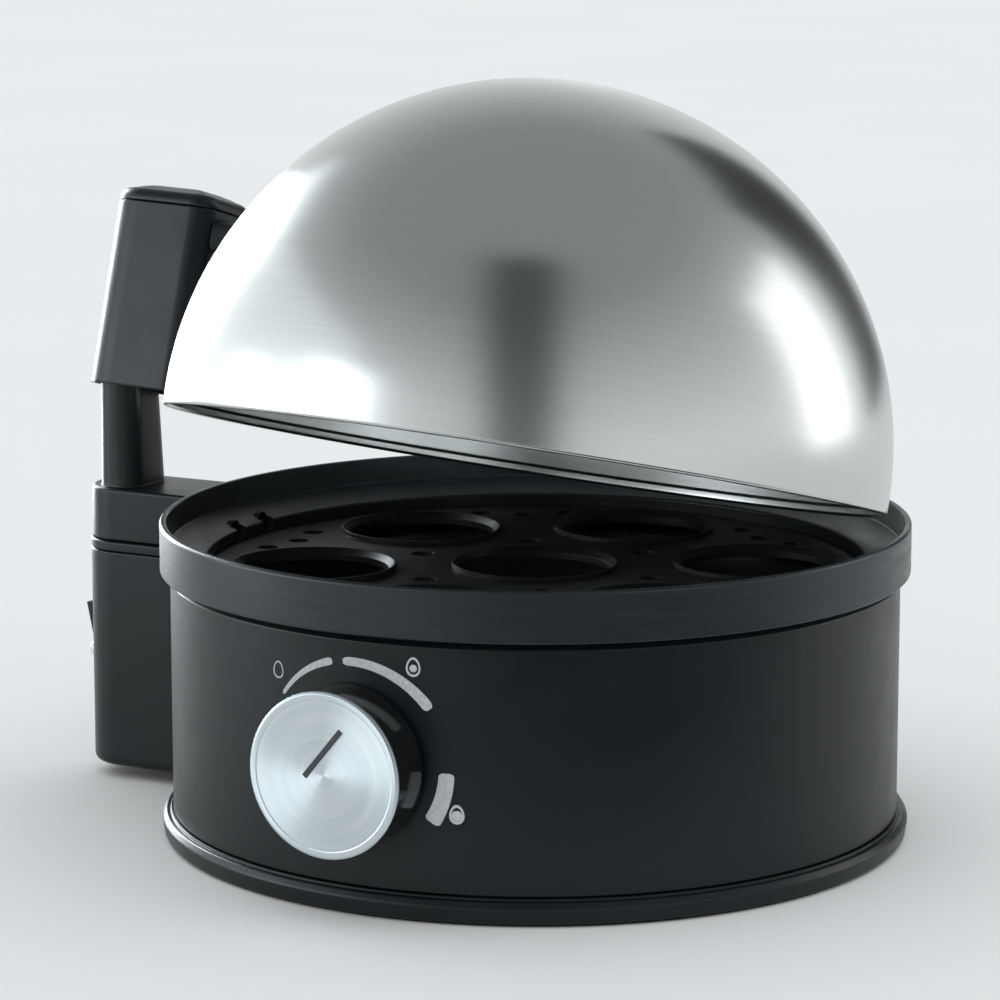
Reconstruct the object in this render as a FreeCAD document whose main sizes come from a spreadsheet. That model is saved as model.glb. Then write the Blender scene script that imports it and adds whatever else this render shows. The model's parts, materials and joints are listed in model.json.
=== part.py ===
import FreeCAD, Part
import math
import os
import Sketcher

# Egg cooker for one to seven eggs: a round heating base with a timer knob, a lift-out egg tray
# with a side handle, and a loose steel dome lid that is tipped ajar on its seat.
# Millimetres, +Z up. The origin is on the base's axis, on the surface the base stands on.
# The knob is at the front (-Y) and the three stacked handles are on the side at -X.

SIZES = {
    # base
    "body_radius": 82.0,
    "body_top": 59.6,
    "body_wall": 2.4,
    "foot_radius": 84.5,
    "foot_low": 0.6,
    "foot_top": 5.8,
    "shelf_top": 54.0,
    "rim_bore": 77.6,
    "dish_radius": 66.0,
    "dish_floor": 37.4,
    "dish_sheet": 1.2,
    # egg tray
    "collar_radius": 84.3,
    "collar_low": 60.3,
    "collar_top": 71.5,
    "plate_low": 58.2,
    "plate_sheet": 1.8,
    "seat_circle": 50.0,
    "seat_radius": 17.0,
    # lid, drawn closed and then tipped
    "lid_seat": 66.2,
    "lid_radius": 81.6,
    "lid_skirt": 3.9,
    "lid_sheet": 0.8,
    "tip_back": 67.6,
    "tip_up": 91.1,
    "tip_angle": 14.8,
    "tip_heading": 8.8,
    # handles
    "column_reach": 117.0,
    "column_low": 3.0,
    "column_top": 55.0,
    "handle_half": 11.0,
    "handle_round": 10.0,
    "handle_wall": 2.2,
    "block_low": 57.8,
    "block_top": 70.0,
    "post_top": 95.5,
    "grip_reach": 114.2,
    "grip_inner": 86.0,
    "grip_low": 70.7,
    "grip_top": 114.0,
    # knob and switch
    "knob_up": 32.4,
    "knob_radius": 17.8,
    "knob_face": 94.2,
    "shaft_radius": 3.0,
    "running_gap": 0.05,
    "rocker_up": 33.0,
    "rocker_pivot": 112.2,
    "rocker_lean": 6.0,
    "gland_up": 14.0,
}

X_AXIS = FreeCAD.Vector(1, 0, 0)
Y_AXIS = FreeCAD.Vector(0, 1, 0)
Z_AXIS = FreeCAD.Vector(0, 0, 1)

doc = FreeCAD.newDocument("egg_cooker")


class Length:
    """A size in millimetres together with the sheet formula that gives it."""

    def __init__(self, value, formula):
        self.value = value
        self.formula = formula

    def joined(self, sign, other, value):
        return Length(value, f"({self.formula} {sign} {as_length(other).formula})")

    def __add__(self, other):
        return self.joined("+", other, self.value + as_length(other).value)

    def __sub__(self, other):
        return self.joined("-", other, self.value - as_length(other).value)

    def __mul__(self, factor):
        return self.joined("*", factor, self.value * as_length(factor).value)

    def __neg__(self):
        return self * -1


def as_length(size):
    return size if isinstance(size, Length) else Length(float(size), str(float(size)))


class Sizes:
    """The sheet's cells by alias, as Length objects."""


def make_sheet():
    sheet = doc.addObject("Spreadsheet::Sheet", "Dimensions")
    for row, (name, value) in enumerate(SIZES.items(), start=1):
        sheet.set(f"A{row}", name)
        sheet.set(f"B{row}", str(value))
        sheet.setAlias(f"B{row}", name)
        setattr(Sizes, name, Length(value, f"Dimensions.{name}"))
    doc.recompute()


make_sheet()
D = Sizes
NODES = []
LID_NODES = []


# ---------------------------------------------------------------- drawing helpers


def bind(item, prop, size):
    """Set a property and tie it to the sheet."""
    size = as_length(size)
    setattr(item, prop, size.value)
    item.setExpression(prop, size.formula)


def place(item, x, y, z, rotation=FreeCAD.Rotation()):
    """Put an item at a point whose coordinates are tied to the sheet."""
    point = [as_length(value) for value in (x, y, z)]
    item.Placement = FreeCAD.Placement(FreeCAD.Vector(*[p.value for p in point]), rotation)
    for letter, size in zip("xyz", point):
        item.setExpression(f"Placement.Base.{letter}", size.formula)
    return item


def along(axis):
    """The rotation that turns +Z to an axis."""
    return FreeCAD.Rotation(Z_AXIS, axis)


def draw(sketch, corners):
    """Fill a sketch with a closed run of straight edges, with every corner tied to the sheet."""
    corners = [(as_length(x), as_length(y)) for x, y in corners]
    points = [FreeCAD.Vector(x.value, y.value, 0) for x, y in corners]
    for start, end in zip(points, points[1:] + points[:1]):
        sketch.addGeometry(Part.LineSegment(start, end))
    for index in range(len(points)):
        following = (index + 1) % len(points)
        sketch.addConstraint(Sketcher.Constraint("Coincident", index, 2, following, 1))
    for index, corner in enumerate(corners):
        for kind, size in zip(("DistanceX", "DistanceY"), corner):
            rule = Sketcher.Constraint(kind, -1, 1, index, 1, size.value)
            number = sketch.addConstraint(rule)
            sketch.setExpression(f"Constraints[{number}]", size.formula)
    return sketch


def outline(body, name, plane, corners):
    """A closed outline in a body, on one of its origin planes."""
    sketch = body.newObject("Sketcher::SketchObject", name)
    support = [item for item in body.Origin.OriginFeatures if item.Role == plane][0]
    sketch.AttachmentSupport = (support, "")
    sketch.MapMode = "FlatFace"
    return draw(sketch, corners)


def spun(name, corners, angle=360):
    """A body turned about +Z from an outline of (radius, height) corners."""
    body = doc.addObject("PartDesign::Body", name)
    sketch = outline(body, name + "_outline", "XZ_Plane", corners)
    turn = body.newObject("PartDesign::Revolution", name + "_turn")
    turn.Profile = sketch
    turn.ReferenceAxis = (sketch, ["V_Axis"])
    turn.Angle = angle
    sketch.Visibility = False
    return body


def raised(name, plane, corners, length, start=0.0, both_ways=False):
    """A body padded from an outline; start lifts it along the sketch's own normal."""
    body = doc.addObject("PartDesign::Body", name)
    sketch = outline(body, name + "_outline", plane, corners)
    lift = as_length(start)
    sketch.AttachmentOffset = FreeCAD.Placement(
        FreeCAD.Vector(0, 0, lift.value), FreeCAD.Rotation()
    )
    sketch.setExpression("AttachmentOffset.Base.z", lift.formula)
    pad = body.newObject("PartDesign::Pad", name + "_pad")
    pad.Profile = sketch
    bind(pad, "Length", length)
    pad.Midplane = both_ways
    return body


def drawn_up(name, low_corners, low, top_corners, top):
    """A solid lofted from one level outline to another above it."""
    sketches = []
    for end, corners, height in (("low", low_corners, low), ("top", top_corners, top)):
        sketch = doc.addObject("Sketcher::SketchObject", f"{name}_{end}")
        sketches.append(place(draw(sketch, corners), 0, 0, height))
    loft = doc.addObject("Part::Loft", name)
    loft.Sections = sketches
    loft.Solid = True
    loft.Ruled = True
    return loft


def softened(name, base, radius, wanted):
    """Round the edges of a plain item that the test picks out."""
    doc.recompute()
    fillet = doc.addObject("Part::Fillet", name)
    fillet.Base = base
    fillet.Edges = [
        (number, radius, radius)
        for number, edge in enumerate(base.Shape.Edges, start=1)
        if wanted(edge)
    ]
    return fillet


def rounded(body, name, radius, wanted):
    """Round the edges of a body's tip that the test picks out."""
    doc.recompute()
    base = body.Tip
    fillet = body.newObject("PartDesign::Fillet", name)
    fillet.Base = (base, edge_names(base.Shape, wanted))
    bind(fillet, "Radius", radius)
    doc.recompute()
    return body


def edge_names(shape, wanted):
    names = [f"Edge{i}" for i, edge in enumerate(shape.Edges, start=1) if wanted(edge)]
    if not names:
        raise RuntimeError("no edge was picked")
    return names


def upright_beyond(reach):
    """Picks the upright edges on the -X side of a plane."""

    def wanted(edge):
        low, high = edge.BoundBox.ZMin, edge.BoundBox.ZMax
        flat = edge.BoundBox.XLength < 0.01 and edge.BoundBox.YLength < 0.01
        return flat and high - low > 0.5 and edge.BoundBox.XMax < -reach

    return wanted


def taller_than(height):
    """Picks the edges that rise by more than a height."""

    def wanted(edge):
        return edge.BoundBox.ZLength > height

    return wanted


def lengthwise(edge):
    """Picks the edges that run along X."""
    return edge.BoundBox.YLength < 0.01 and edge.BoundBox.ZLength < 0.01


def level_at(height, reach):
    """Picks the level edges at a height on the -X side of a plane."""

    def wanted(edge):
        box = edge.BoundBox
        return abs(box.ZMin - height) < 0.01 and abs(box.ZMax - height) < 0.01 and box.XMin < -reach

    return wanted


def block(name, x, y, z):
    """A box from three (low, high) pairs."""
    item = doc.addObject("Part::Box", name)
    for prop, (low, high) in zip(("Length", "Width", "Height"), (x, y, z)):
        bind(item, prop, as_length(high) - low)
    return place(item, x[0], y[0], z[0])


def rod(name, radius, length, x, y, z, axis=Z_AXIS):
    """A cylinder that starts at a point and runs along an axis."""
    item = doc.addObject("Part::Cylinder", name)
    bind(item, "Radius", radius)
    bind(item, "Height", length)
    return place(item, x, y, z, along(axis))


def joined(name, items):
    item = doc.addObject("Part::MultiFuse", name)
    item.Shapes = items
    return item


def minus(name, base, tools):
    item = doc.addObject("Part::Cut", name)
    item.Base = base
    item.Tool = tools[0] if len(tools) == 1 else joined(name + "_tools", tools)
    return item


def node(label, item):
    """Name a finished sub-part after the file it is written to."""
    item.Label = label
    NODES.append(item)
    return item


def lid_node(label, item):
    LID_NODES.append(item)
    return node(label, item)


def around(radius, degrees):
    """A point on a circle, counted from +X towards +Y."""
    turn = math.radians(degrees)
    radius = as_length(radius)
    return radius * math.cos(turn), radius * math.sin(turn)


def screw(name, head_radius, head_height, shank_radius, shank_length, x, y, z, axis):
    """A pan-head screw: its head starts at the point and its shank follows along the axis."""
    head = rod(name + "_head", head_radius, head_height, x, y, z, axis)
    point = [as_length(value) for value in (x, y, z)]
    step = [p + head_height * c for p, c in zip(point, axis)]
    shank = rod(name + "_shank", shank_radius, shank_length, *step, axis)
    return joined(name, [head, shank])


def grouped(label, items):
    """Identical separate solids that share one node."""
    item = doc.addObject("Part::Compound", label + "_group")
    item.Links = items
    return node(label, item)


# ---------------------------------------------------------------- heating base

COVER_BOSS_CIRCLE = 72.0
COVER_BOSS_ANGLES = (45, 135, 225, 315)
COLUMN_SCREW_HEIGHTS = (14.0, 47.0)
SHIELD_POST_CIRCLE = 47.0
SHIELD_POST_ANGLES = (30, 150, 270)
SHIELD_HEIGHT = 21.0


def base_housing():
    """Round moulded wall with a chamfered rim, an inner shelf for the dish and cover bosses."""
    inner = D.body_radius - D.body_wall
    shell = spun(
        "housing_shell",
        [
            (D.body_radius, D.foot_top + 0.2),
            (D.body_radius, D.body_top - 0.9),
            (D.body_radius - 0.9, D.body_top),
            (D.rim_bore, D.body_top),
            (D.rim_bore, D.shelf_top),
            (D.rim_bore - 3.4, D.shelf_top),
            (D.rim_bore - 3.4, D.shelf_top - 2.0),
            (inner, D.shelf_top - 4.0),
            (inner, D.foot_top + 0.2),
        ],
    )
    bosses = []
    for number, angle in enumerate(COVER_BOSS_ANGLES):
        x, y = around(COVER_BOSS_CIRCLE, angle)
        boss = rod(f"housing_boss_{number}", 4.0, 14.0, x, y, D.foot_top + 0.2)
        rib = block(f"housing_rib_{number}", (0.0, 5.5), (-1.5, 1.5), (0.0, 14.0))
        turn = FreeCAD.Rotation(Z_AXIS, angle)
        corner = turn.multVec(FreeCAD.Vector(COVER_BOSS_CIRCLE + 2.5, -1.5, 0))
        place(rib, corner.x, corner.y, D.foot_top + 0.2, turn)
        bosses += [boss, rib]
    solid = joined("housing_solid", [shell] + bosses)
    holes = [
        rod("housing_knob_hole", 4.2, 8.0, 0, -76.0, D.knob_up, -Y_AXIS),
        rod("housing_gland_hole", 5.2, 8.0, 0, 76.0, D.gland_up, Y_AXIS),
        block("housing_wire_hole", (-84.0, -78.0), (-4.0, 4.0), (24.0, 30.0)),
    ]
    for number, height in enumerate(COLUMN_SCREW_HEIGHTS):
        holes.append(rod(f"housing_screw_hole_{number}", 1.7, 6.0, -78.0, 0, height, -X_AXIS))
    for number, angle in enumerate(COVER_BOSS_ANGLES):
        x, y = around(COVER_BOSS_CIRCLE, angle)
        holes.append(rod(f"housing_pilot_{number}", 1.25, 12.0, x, y, D.foot_top))
    node("base_housing", minus("housing", solid, holes))


def foot_parts():
    """The wider trim ring round the bottom edge and the rubber ring set into it."""
    low, top = D.foot_low, D.foot_top
    outer = D.foot_radius
    groove_top = low + 2.0
    node(
        "foot_ring",
        spun(
            "foot_ring_body",
            [
                (outer - 0.6, low),
                (outer, low + 0.6),
                (outer, top - 1.5),
                (outer - 0.5, top - 0.5),
                (outer - 1.5, top),
                (outer - 6.2, top),
                (outer - 6.2, low),
                (outer - 5.1, low),
                (outer - 5.1, groove_top),
                (outer - 1.7, groove_top),
                (outer - 1.7, low),
            ],
        ),
    )
    node(
        "non_slip_ring",
        spun(
            "non_slip_body",
            [
                (outer - 1.8, 0),
                (outer - 1.8, groove_top - 0.1),
                (outer - 5.0, groove_top - 0.1),
                (outer - 5.0, 0),
            ],
        ),
    )


def bottom_cover():
    """Moulded disc that closes the base, with a stiffening wall and heat shield posts."""
    edge = D.foot_radius - 6.5
    plate = spun(
        "cover_plate",
        [
            (0, 3.2),
            (edge, 3.2),
            (edge, 5.6),
            (61.5, 5.6),
            (61.5, 9.0),
            (60.0, 9.0),
            (60.0, 5.6),
            (0, 5.6),
        ],
    )
    posts, holes = [], []
    for number, angle in enumerate(SHIELD_POST_ANGLES):
        x, y = around(SHIELD_POST_CIRCLE, angle)
        posts.append(rod(f"cover_post_{number}", 3.0, SHIELD_HEIGHT - 5.0, x, y, 5.0))
        holes.append(rod(f"cover_post_hole_{number}", 1.1, 10.0, x, y, SHIELD_HEIGHT - 9.0))
    for number, angle in enumerate(COVER_BOSS_ANGLES):
        x, y = around(COVER_BOSS_CIRCLE, angle)
        holes.append(rod(f"cover_hole_{number}", 1.7, 4.0, x, y, 2.4))
        holes.append(rod(f"cover_sink_{number}", 3.4, 1.4, x, y, 3.0))
    for number in range(5):
        y = -16.0 + 8.0 * number
        vent = block(f"cover_vent_{number}", (-15.0, 15.0), (y - 1.0, y + 1.0), (3.0, 6.0))
        holes.append(vent)
    node("bottom_cover", minus("cover", joined("cover_solid", [plate] + posts), holes))
    screws = []
    for number, angle in enumerate(COVER_BOSS_ANGLES):
        x, y = around(COVER_BOSS_CIRCLE, angle)
        screws.append(screw(f"cover_screw_{number}", 3.0, 1.2, 1.2, 11.0, x, y, 3.1, Z_AXIS))
    grouped("cover_screws", screws)


def heating_parts():
    """The water dish with its seal, and under it the heater, its sensor, fuse and shield."""
    floor, sheet, rim = D.dish_floor, D.dish_sheet, D.shelf_top + 0.8
    wall = D.dish_radius
    node(
        "heating_dish",
        spun(
            "dish_body",
            [
                (0, floor),
                (wall - 5.0, floor),
                (wall - 1.2, floor + 3.6),
                (wall, rim),
                (D.rim_bore - 0.3, rim),
                (D.rim_bore - 0.3, rim + 0.8),
                (wall - 0.4, rim + 0.8),
                (wall - 1.2, rim),
                (wall - 2.4, floor + 4.2),
                (wall - 5.6, floor + sheet),
                (0, floor + sheet),
            ],
        ),
    )
    node(
        "dish_seal",
        spun(
            "seal_body",
            [
                (D.rim_bore - 3.2, D.shelf_top + 0.05),
                (D.rim_bore - 0.4, D.shelf_top + 0.05),
                (D.rim_bore - 0.4, D.shelf_top + 0.75),
                (D.rim_bore - 3.2, D.shelf_top + 0.75),
            ],
        ),
    )
    heater_tube()
    under = floor - 0.1
    can = rod("thermostat_can", 9.0, 6.0, 0, 0, under - 6.0)
    tabs = [
        block(f"thermostat_tab_{n}", (x - 0.4, x + 0.4), (-2.4, 2.4), (under - 13.0, under - 5.5))
        for n, x in enumerate((-5.0, 5.0))
    ]
    node("dish_thermostat", joined("thermostat", [can] + tabs))
    strap_low, strap_top = under - 6.9, under - 0.6
    node(
        "thermostat_clip",
        minus(
            "clip",
            raised(
                "clip_strap",
                "XZ_Plane",
                [
                    (-20.0, strap_top),
                    (-20.0, strap_top + 0.6),
                    (-13.4, strap_top + 0.6),
                    (-11.4, strap_low + 0.6),
                    (11.4, strap_low + 0.6),
                    (13.4, strap_top + 0.6),
                    (20.0, strap_top + 0.6),
                    (20.0, strap_top),
                    (13.9, strap_top),
                    (11.9, strap_low),
                    (-11.9, strap_low),
                    (-13.9, strap_top),
                ],
                10.0,
                both_ways=True,
            ),
            [
                block(
                    f"clip_slot_{n}", (x - 1.2, x + 1.2), (-3.0, 3.0), (strap_low - 1, strap_low + 1)
                )
                for n, x in enumerate((-5.0, 5.0))
            ],
        ),
    )
    node("thermal_fuse", rod("fuse_body", 2.2, 16.0, -8.0, 24.0, under - 2.4, X_AXIS))


def heater_tube():
    """Sheathed element bent to an open ring under the dish, with two cold pins."""
    ring, tube = 44.0, 3.2
    height = D.dish_floor - 0.1 - tube
    opening = 30.0
    torus = doc.addObject("Part::Torus", "heater_ring")
    torus.Radius1 = ring
    torus.Radius2 = tube
    torus.Angle3 = 360 - 2 * opening
    place(torus, 0, 0, height, FreeCAD.Rotation(Z_AXIS, 90 + opening))
    pins = []
    for number, angle in enumerate((90 + opening, 90 - opening)):
        x, y = around(ring, angle)
        pins.append(rod(f"heater_pin_{number}", 2.0, 9.0, x, y, height - 9.0))
    node("heating_element", joined("heater", [torus] + pins))


def heat_shield():
    """Thin bright sheet on three posts that keeps heat off the electrics below."""
    plate = spun(
        "shield_plate",
        [
            (13.0, SHIELD_HEIGHT + 0.1),
            (54.0, SHIELD_HEIGHT + 0.1),
            (54.0, SHIELD_HEIGHT + 2.6),
            (53.4, SHIELD_HEIGHT + 2.6),
            (53.4, SHIELD_HEIGHT + 0.7),
            (13.0, SHIELD_HEIGHT + 0.7),
        ],
    )
    holes, screws = [], []
    for number, angle in enumerate(SHIELD_POST_ANGLES):
        x, y = around(SHIELD_POST_CIRCLE, angle)
        holes.append(rod(f"shield_hole_{number}", 1.4, 2.0, x, y, SHIELD_HEIGHT - 0.5))
        screws.append(
            screw(f"shield_screw_{number}", 2.4, 1.4, 1.0, 7.0, x, y, SHIELD_HEIGHT + 2.15, -Z_AXIS)
        )
    node("heat_shield", minus("shield", plate, holes))
    grouped("shield_screws", screws)


# ---------------------------------------------------------------- electrics


def control_parts():
    """Timer selector behind the knob, its nut outside, and the board with a buzzer."""
    up = D.knob_up
    bush_end = -84.0
    case = block("selector_case", (-8.0, 8.0), (-78.2, -68.2), (up - 8.0, up + 8.0))
    bush = rod("selector_bush", 4.0, 6.2, 0, -77.8, up, -Y_AXIS)
    bore = rod("selector_bore", D.shaft_radius + D.running_gap, 15.5, 0, -69.5, up, -Y_AXIS)
    node("time_selector", minus("selector", joined("selector_solid", [case, bush]), [bore]))
    nut = doc.addObject("Part::Prism", "selector_nut_hex")
    nut.Polygon = 6
    nut.Circumradius = 6.6
    nut.Height = 1.6
    place(nut, 0, -82.15, up, along(-Y_AXIS))
    nut_hole = rod("selector_nut_hole", 4.1, 4.0, 0, -81.0, up, -Y_AXIS)
    node("selector_nut", minus("selector_nut_cut", nut, [nut_hole]))
    board = block("board_sheet", (-24.0, 24.0), (-68.1, -66.5), (8.0, up + 4.2))
    chips = [
        block("board_relay", (-20.0, -6.0), (-66.6, -56.0), (11.0, 27.0)),
        block("board_capacitor", (12.0, 21.0), (-66.6, -60.0), (11.0, 23.0)),
    ]
    node("control_board", joined("board", [board] + chips))
    node("buzzer", rod("buzzer_can", 5.5, 5.0, 4.0, -66.4, 16.0, Y_AXIS))


def supply_parts():
    """The mains entry at the back of the base: gland, clamp and terminal block."""
    up = D.gland_up
    flange = rod("gland_flange", 7.0, 2.0, 0, 82.3, up, Y_AXIS)
    neck = rod("gland_neck", 5.0, 9.0, 0, 74.0, up, Y_AXIS)
    lock = rod("gland_lock", 6.6, 2.4, 0, 76.6, up, Y_AXIS)
    bore = rod("gland_bore", 3.2, 20.0, 0, 70.0, up, Y_AXIS)
    node("cord_gland", minus("gland", joined("gland_solid", [flange, neck, lock]), [bore]))
    saddle = block("clamp_saddle", (-10.0, 10.0), (63.0, 69.0), (8.0, 11.0))
    saddle_cap = block("clamp_cap", (-10.0, 10.0), (63.0, 69.0), (17.6, 20.0))
    node("cord_clamp", joined("clamp", [saddle, clamp_posts(), saddle_cap]))
    strip = block("terminal_strip", (-15.0, 15.0), (44.0, 56.0), (5.8, 15.0))
    wells = [
        rod(f"terminal_well_{n}", 2.2, 4.0, x, 50.0, 12.0) for n, x in enumerate((-9.0, 0.0, 9.0))
    ]
    node("terminal_block", minus("terminal", strip, wells))


def clamp_posts():
    return joined(
        "clamp_posts",
        [
            block("clamp_post_0", (-10.0, -5.0), (63.0, 69.0), (10.5, 18.0)),
            block("clamp_post_1", (5.0, 10.0), (63.0, 69.0), (10.5, 18.0)),
        ],
    )


# ---------------------------------------------------------------- base handle column and switch


def handle_outline(inner, reach, half, back=None):
    """Plan of a handle: a bar that runs out along -X. Its +Y half can be narrower."""
    back = back or half
    return [(-inner, -half), (-reach, -half), (-reach, back), (-inner, back)]


def column_parts():
    """Hollow column fixed to the side of the base, its top cover and its two screws."""
    half, reach, wall = D.handle_half, D.column_reach, D.handle_wall
    low, top = D.column_low, D.column_top
    shell = raised(
        "column_block", "XY_Plane", handle_outline(D.body_radius - 4.0, reach, half), top - low, low
    )
    rounded(shell, "column_corners", D.handle_round, upright_beyond(100))
    rounded(shell, "column_sole", 2.0, level_at(low.value, 84))
    cavity = raised(
        "column_cavity",
        "XY_Plane",
        handle_outline(D.body_radius + 5.0, reach - wall, half - wall),
        top - low,
        low + 2.4,
    )
    rounded(cavity, "column_cavity_corners", 5.2, upright_beyond(100))
    body_space = rod("column_body_space", D.body_radius + 0.15, 80.0, 0, 0, -10.0)
    window = block(
        "column_window",
        (-reach - 2.0, -reach + 4.0),
        (-4.9, 4.9),
        (D.rocker_up - 9.3, D.rocker_up + 9.3),
    )
    wire_hole = block("column_wire_hole", (-88.0, -80.0), (-4.0, 4.0), (24.0, 30.0))
    foot_space = rod("column_foot_space", D.foot_radius + 0.3, D.foot_top + 0.4, 0, 0, 0)
    tools = [cavity, body_space, foot_space, window, wire_hole]
    for number, height in enumerate(COLUMN_SCREW_HEIGHTS):
        tools.append(rod(f"column_hole_{number}", 1.45, 8.0, -80.0, 0, height, -X_AXIS))
    node("column_shell", minus("column", shell, tools))
    cap = raised(
        "column_cap_plate",
        "XY_Plane",
        handle_outline(D.body_radius - 4.0, reach, half),
        2.2,
        top + 0.2,
    )
    rounded(cap, "column_cap_corners", D.handle_round, upright_beyond(100))
    rounded(cap, "column_cap_edge", 0.5, level_at(top.value + 2.4, 84))
    plug = block("column_plug", (-reach + 8.0, -88.0), (-half + 4.0, half - 4.0), (top - 2.0, top + 0.5))
    cap_space = rod("column_cap_space", D.body_radius + 0.15, 20.0, 0, 0, top - 5.0)
    node("column_cap", minus("column_cap_cut", joined("column_cap_solid", [cap, plug]), [cap_space]))
    screws = []
    for number, height in enumerate(COLUMN_SCREW_HEIGHTS):
        name = f"column_screw_{number}"
        screws.append(screw(name, 3.0, 2.0, 1.4, 6.4, -77.2, 0, height, -X_AXIS))
    grouped("column_screws", screws)


def switch_parts():
    """Rocker switch in the outer face of the column: case, pin, rocker and light lens."""
    up, pivot = D.rocker_up, D.rocker_pivot
    case = block("switch_case", (-109.5, -97.0), (-5.8, 5.8), (up - 10.0, up + 10.0))
    ears = [
        block(f"switch_ear_{n}", (-pivot - 1.2, -108.0), (y, y + 0.9), (up - 3.5, up + 3.5))
        for n, y in enumerate((-5.8, 4.9))
    ]
    tabs = [
        block(f"switch_tab_{n}", (-97.5, -90.5), (-2.4, 2.4), (up + z - 0.4, up + z + 0.4))
        for n, z in enumerate((-6.0, 6.0))
    ]
    hole = rod("switch_pin_hole", 1.0, 14.0, -pivot, -7.0, up, Y_AXIS)
    node("switch_body", minus("switch", joined("switch_solid", [case] + ears + tabs), [hole]))
    node("rocker_pin", rod("rocker_pin_rod", 1.0, 11.6, -pivot, -5.8, up, Y_AXIS))
    rocker = raised(
        "rocker_bar",
        "XZ_Plane",
        [
            (-pivot + 1.9, up - 3.0),
            (-pivot - 1.6, up - 8.3),
            (-pivot - 5.3, up - 8.3),
            (-pivot - 4.4, up),
            (-pivot - 5.3, up + 8.3),
            (-pivot - 1.6, up + 8.3),
            (-pivot + 1.9, up + 3.0),
        ],
        9.0,
        both_ways=True,
    )
    bore = rod("rocker_bore", 1.06, 14.0, -pivot, -7.0, up, Y_AXIS)
    lens_space = rod("rocker_lens_space", 2.0, 8.0, -pivot - 2.4, 0, up - 3.9, -X_AXIS)
    lean = FreeCAD.Placement(
        FreeCAD.Vector(),
        FreeCAD.Rotation(Y_AXIS, -D.rocker_lean.value),
        FreeCAD.Vector(-pivot.value, 0, up.value),
    )
    rocker = node("power_rocker", minus("rocker", rocker, [bore, lens_space]))
    rocker.Placement = lean
    lens = rod("rocker_lens_rod", 1.9, 4.2, -pivot - 2.5, 0, up - 3.9, -X_AXIS)
    dome = doc.addObject("Part::Sphere", "rocker_lens_dome")
    bind(dome, "Radius", 1.9)
    place(dome, -pivot - 6.7, 0, up - 3.9)
    node("rocker_lens", joined("rocker_lens_solid", [lens, dome])).Placement = lean


# ---------------------------------------------------------------- knob


def knob_parts():
    """Timer knob: dark turned skirt, brushed steel face with a marker line, and its shaft."""
    face, up, radius = D.knob_face, D.knob_up, D.knob_radius
    skirt = rod("knob_skirt", radius - 0.6, face - 83.4, 0, -82.6, up, -Y_AXIS)
    hollow = rod("knob_hollow", radius - 3.0, 6.5, 0, -82.0, up, -Y_AXIS)
    hub = rod("knob_hub", 5.4, 8.0, 0, -84.9, up, -Y_AXIS)
    bore = rod("knob_bore", D.shaft_radius + 0.02, 5.0, 0, -84.0, up, -Y_AXIS)
    shell = minus("knob_shell", skirt, [hollow])
    node("knob_body", minus("knob", joined("knob_solid", [shell, hub]), [bore]))
    disc = rod("knob_disc", radius, 1.0, 0, -face + 0.75, up, -Y_AXIS)
    doc.recompute()
    edge = doc.addObject("Part::Chamfer", "knob_disc_edge")
    edge.Base = disc
    front = [
        (number, 0.35, 0.35)
        for number, item in enumerate(disc.Shape.Edges, start=1)
        if item.BoundBox.YMax < -face.value - 0.2
    ]
    edge.Edges = front
    groove = marker("knob_groove", 1.3, 0.6, -face.value + 0.2)
    node("knob_face", minus("knob_face_cut", edge, [groove]))
    node("knob_marker", marker("knob_line", 1.2, 0.4, -face.value + 0.15))
    node("knob_shaft", rod("knob_shaft_rod", D.shaft_radius, 18.6, 0, -70.0, up, -Y_AXIS))


def marker(name, width, depth, start):
    """The straight line let into the knob's face, leaning as the knob is set."""
    lean, length, side = 38.7, 13.4, -0.15
    bar = doc.addObject("Part::Box", name)
    bar.Length = width
    bar.Width = depth
    bar.Height = length
    turn = FreeCAD.Rotation(Y_AXIS, lean)
    low = turn.multVec(FreeCAD.Vector(side - width / 2, 0, -length / 2))
    centre = FreeCAD.Vector(0, start - depth, D.knob_up.value + 4.6)
    bar.Placement = FreeCAD.Placement(centre + low, turn)
    return bar


# ---------------------------------------------------------------- egg tray

TRAY_SCREW_HEIGHT = 62.6
TRAY_SCREW_SIDES = (-6.0, 6.0)


def tray_collar():
    """Ring that stands on the base, with a sloped seat for the lid and a lip for the plate."""
    outer, low, top, seat = D.collar_radius, D.collar_low, D.collar_top, D.lid_seat
    spigot = D.rim_bore - 0.4
    lip_top = D.plate_low - 0.1
    ring = spun(
        "collar_ring",
        [
            (outer, low + 0.3),
            (outer, top - 0.7),
            (outer - 0.6, top),
            (outer - 1.2, top),
            (outer - 2.1, seat - 0.4),
            (74.0, seat - 3.5),
            (74.0, lip_top),
            (71.6, lip_top),
            (71.6, lip_top - 1.5),
            (spigot - 1.8, lip_top - 1.5),
            (spigot - 1.8, D.shelf_top + 1.95),
            (spigot, D.shelf_top + 1.95),
            (spigot, low),
            (outer - 0.3, low),
        ],
    )
    holes, screws = [], []
    for number, y in enumerate(TRAY_SCREW_SIDES):
        holes.append(rod(f"collar_hole_{number}", 1.5, 14.0, -74.5, y, TRAY_SCREW_HEIGHT, -X_AXIS))
        holes.append(rod(f"collar_recess_{number}", 2.2, 4.0, -73.0, y, TRAY_SCREW_HEIGHT, -X_AXIS))
        name = f"tray_screw_{number}"
        screws.append(screw(name, 2.0, 1.4, 1.15, 14.0, -75.5, y, TRAY_SCREW_HEIGHT, -X_AXIS))
    node("tray_collar", minus("collar", ring, holes))
    grouped("tray_screws", screws)


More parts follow.
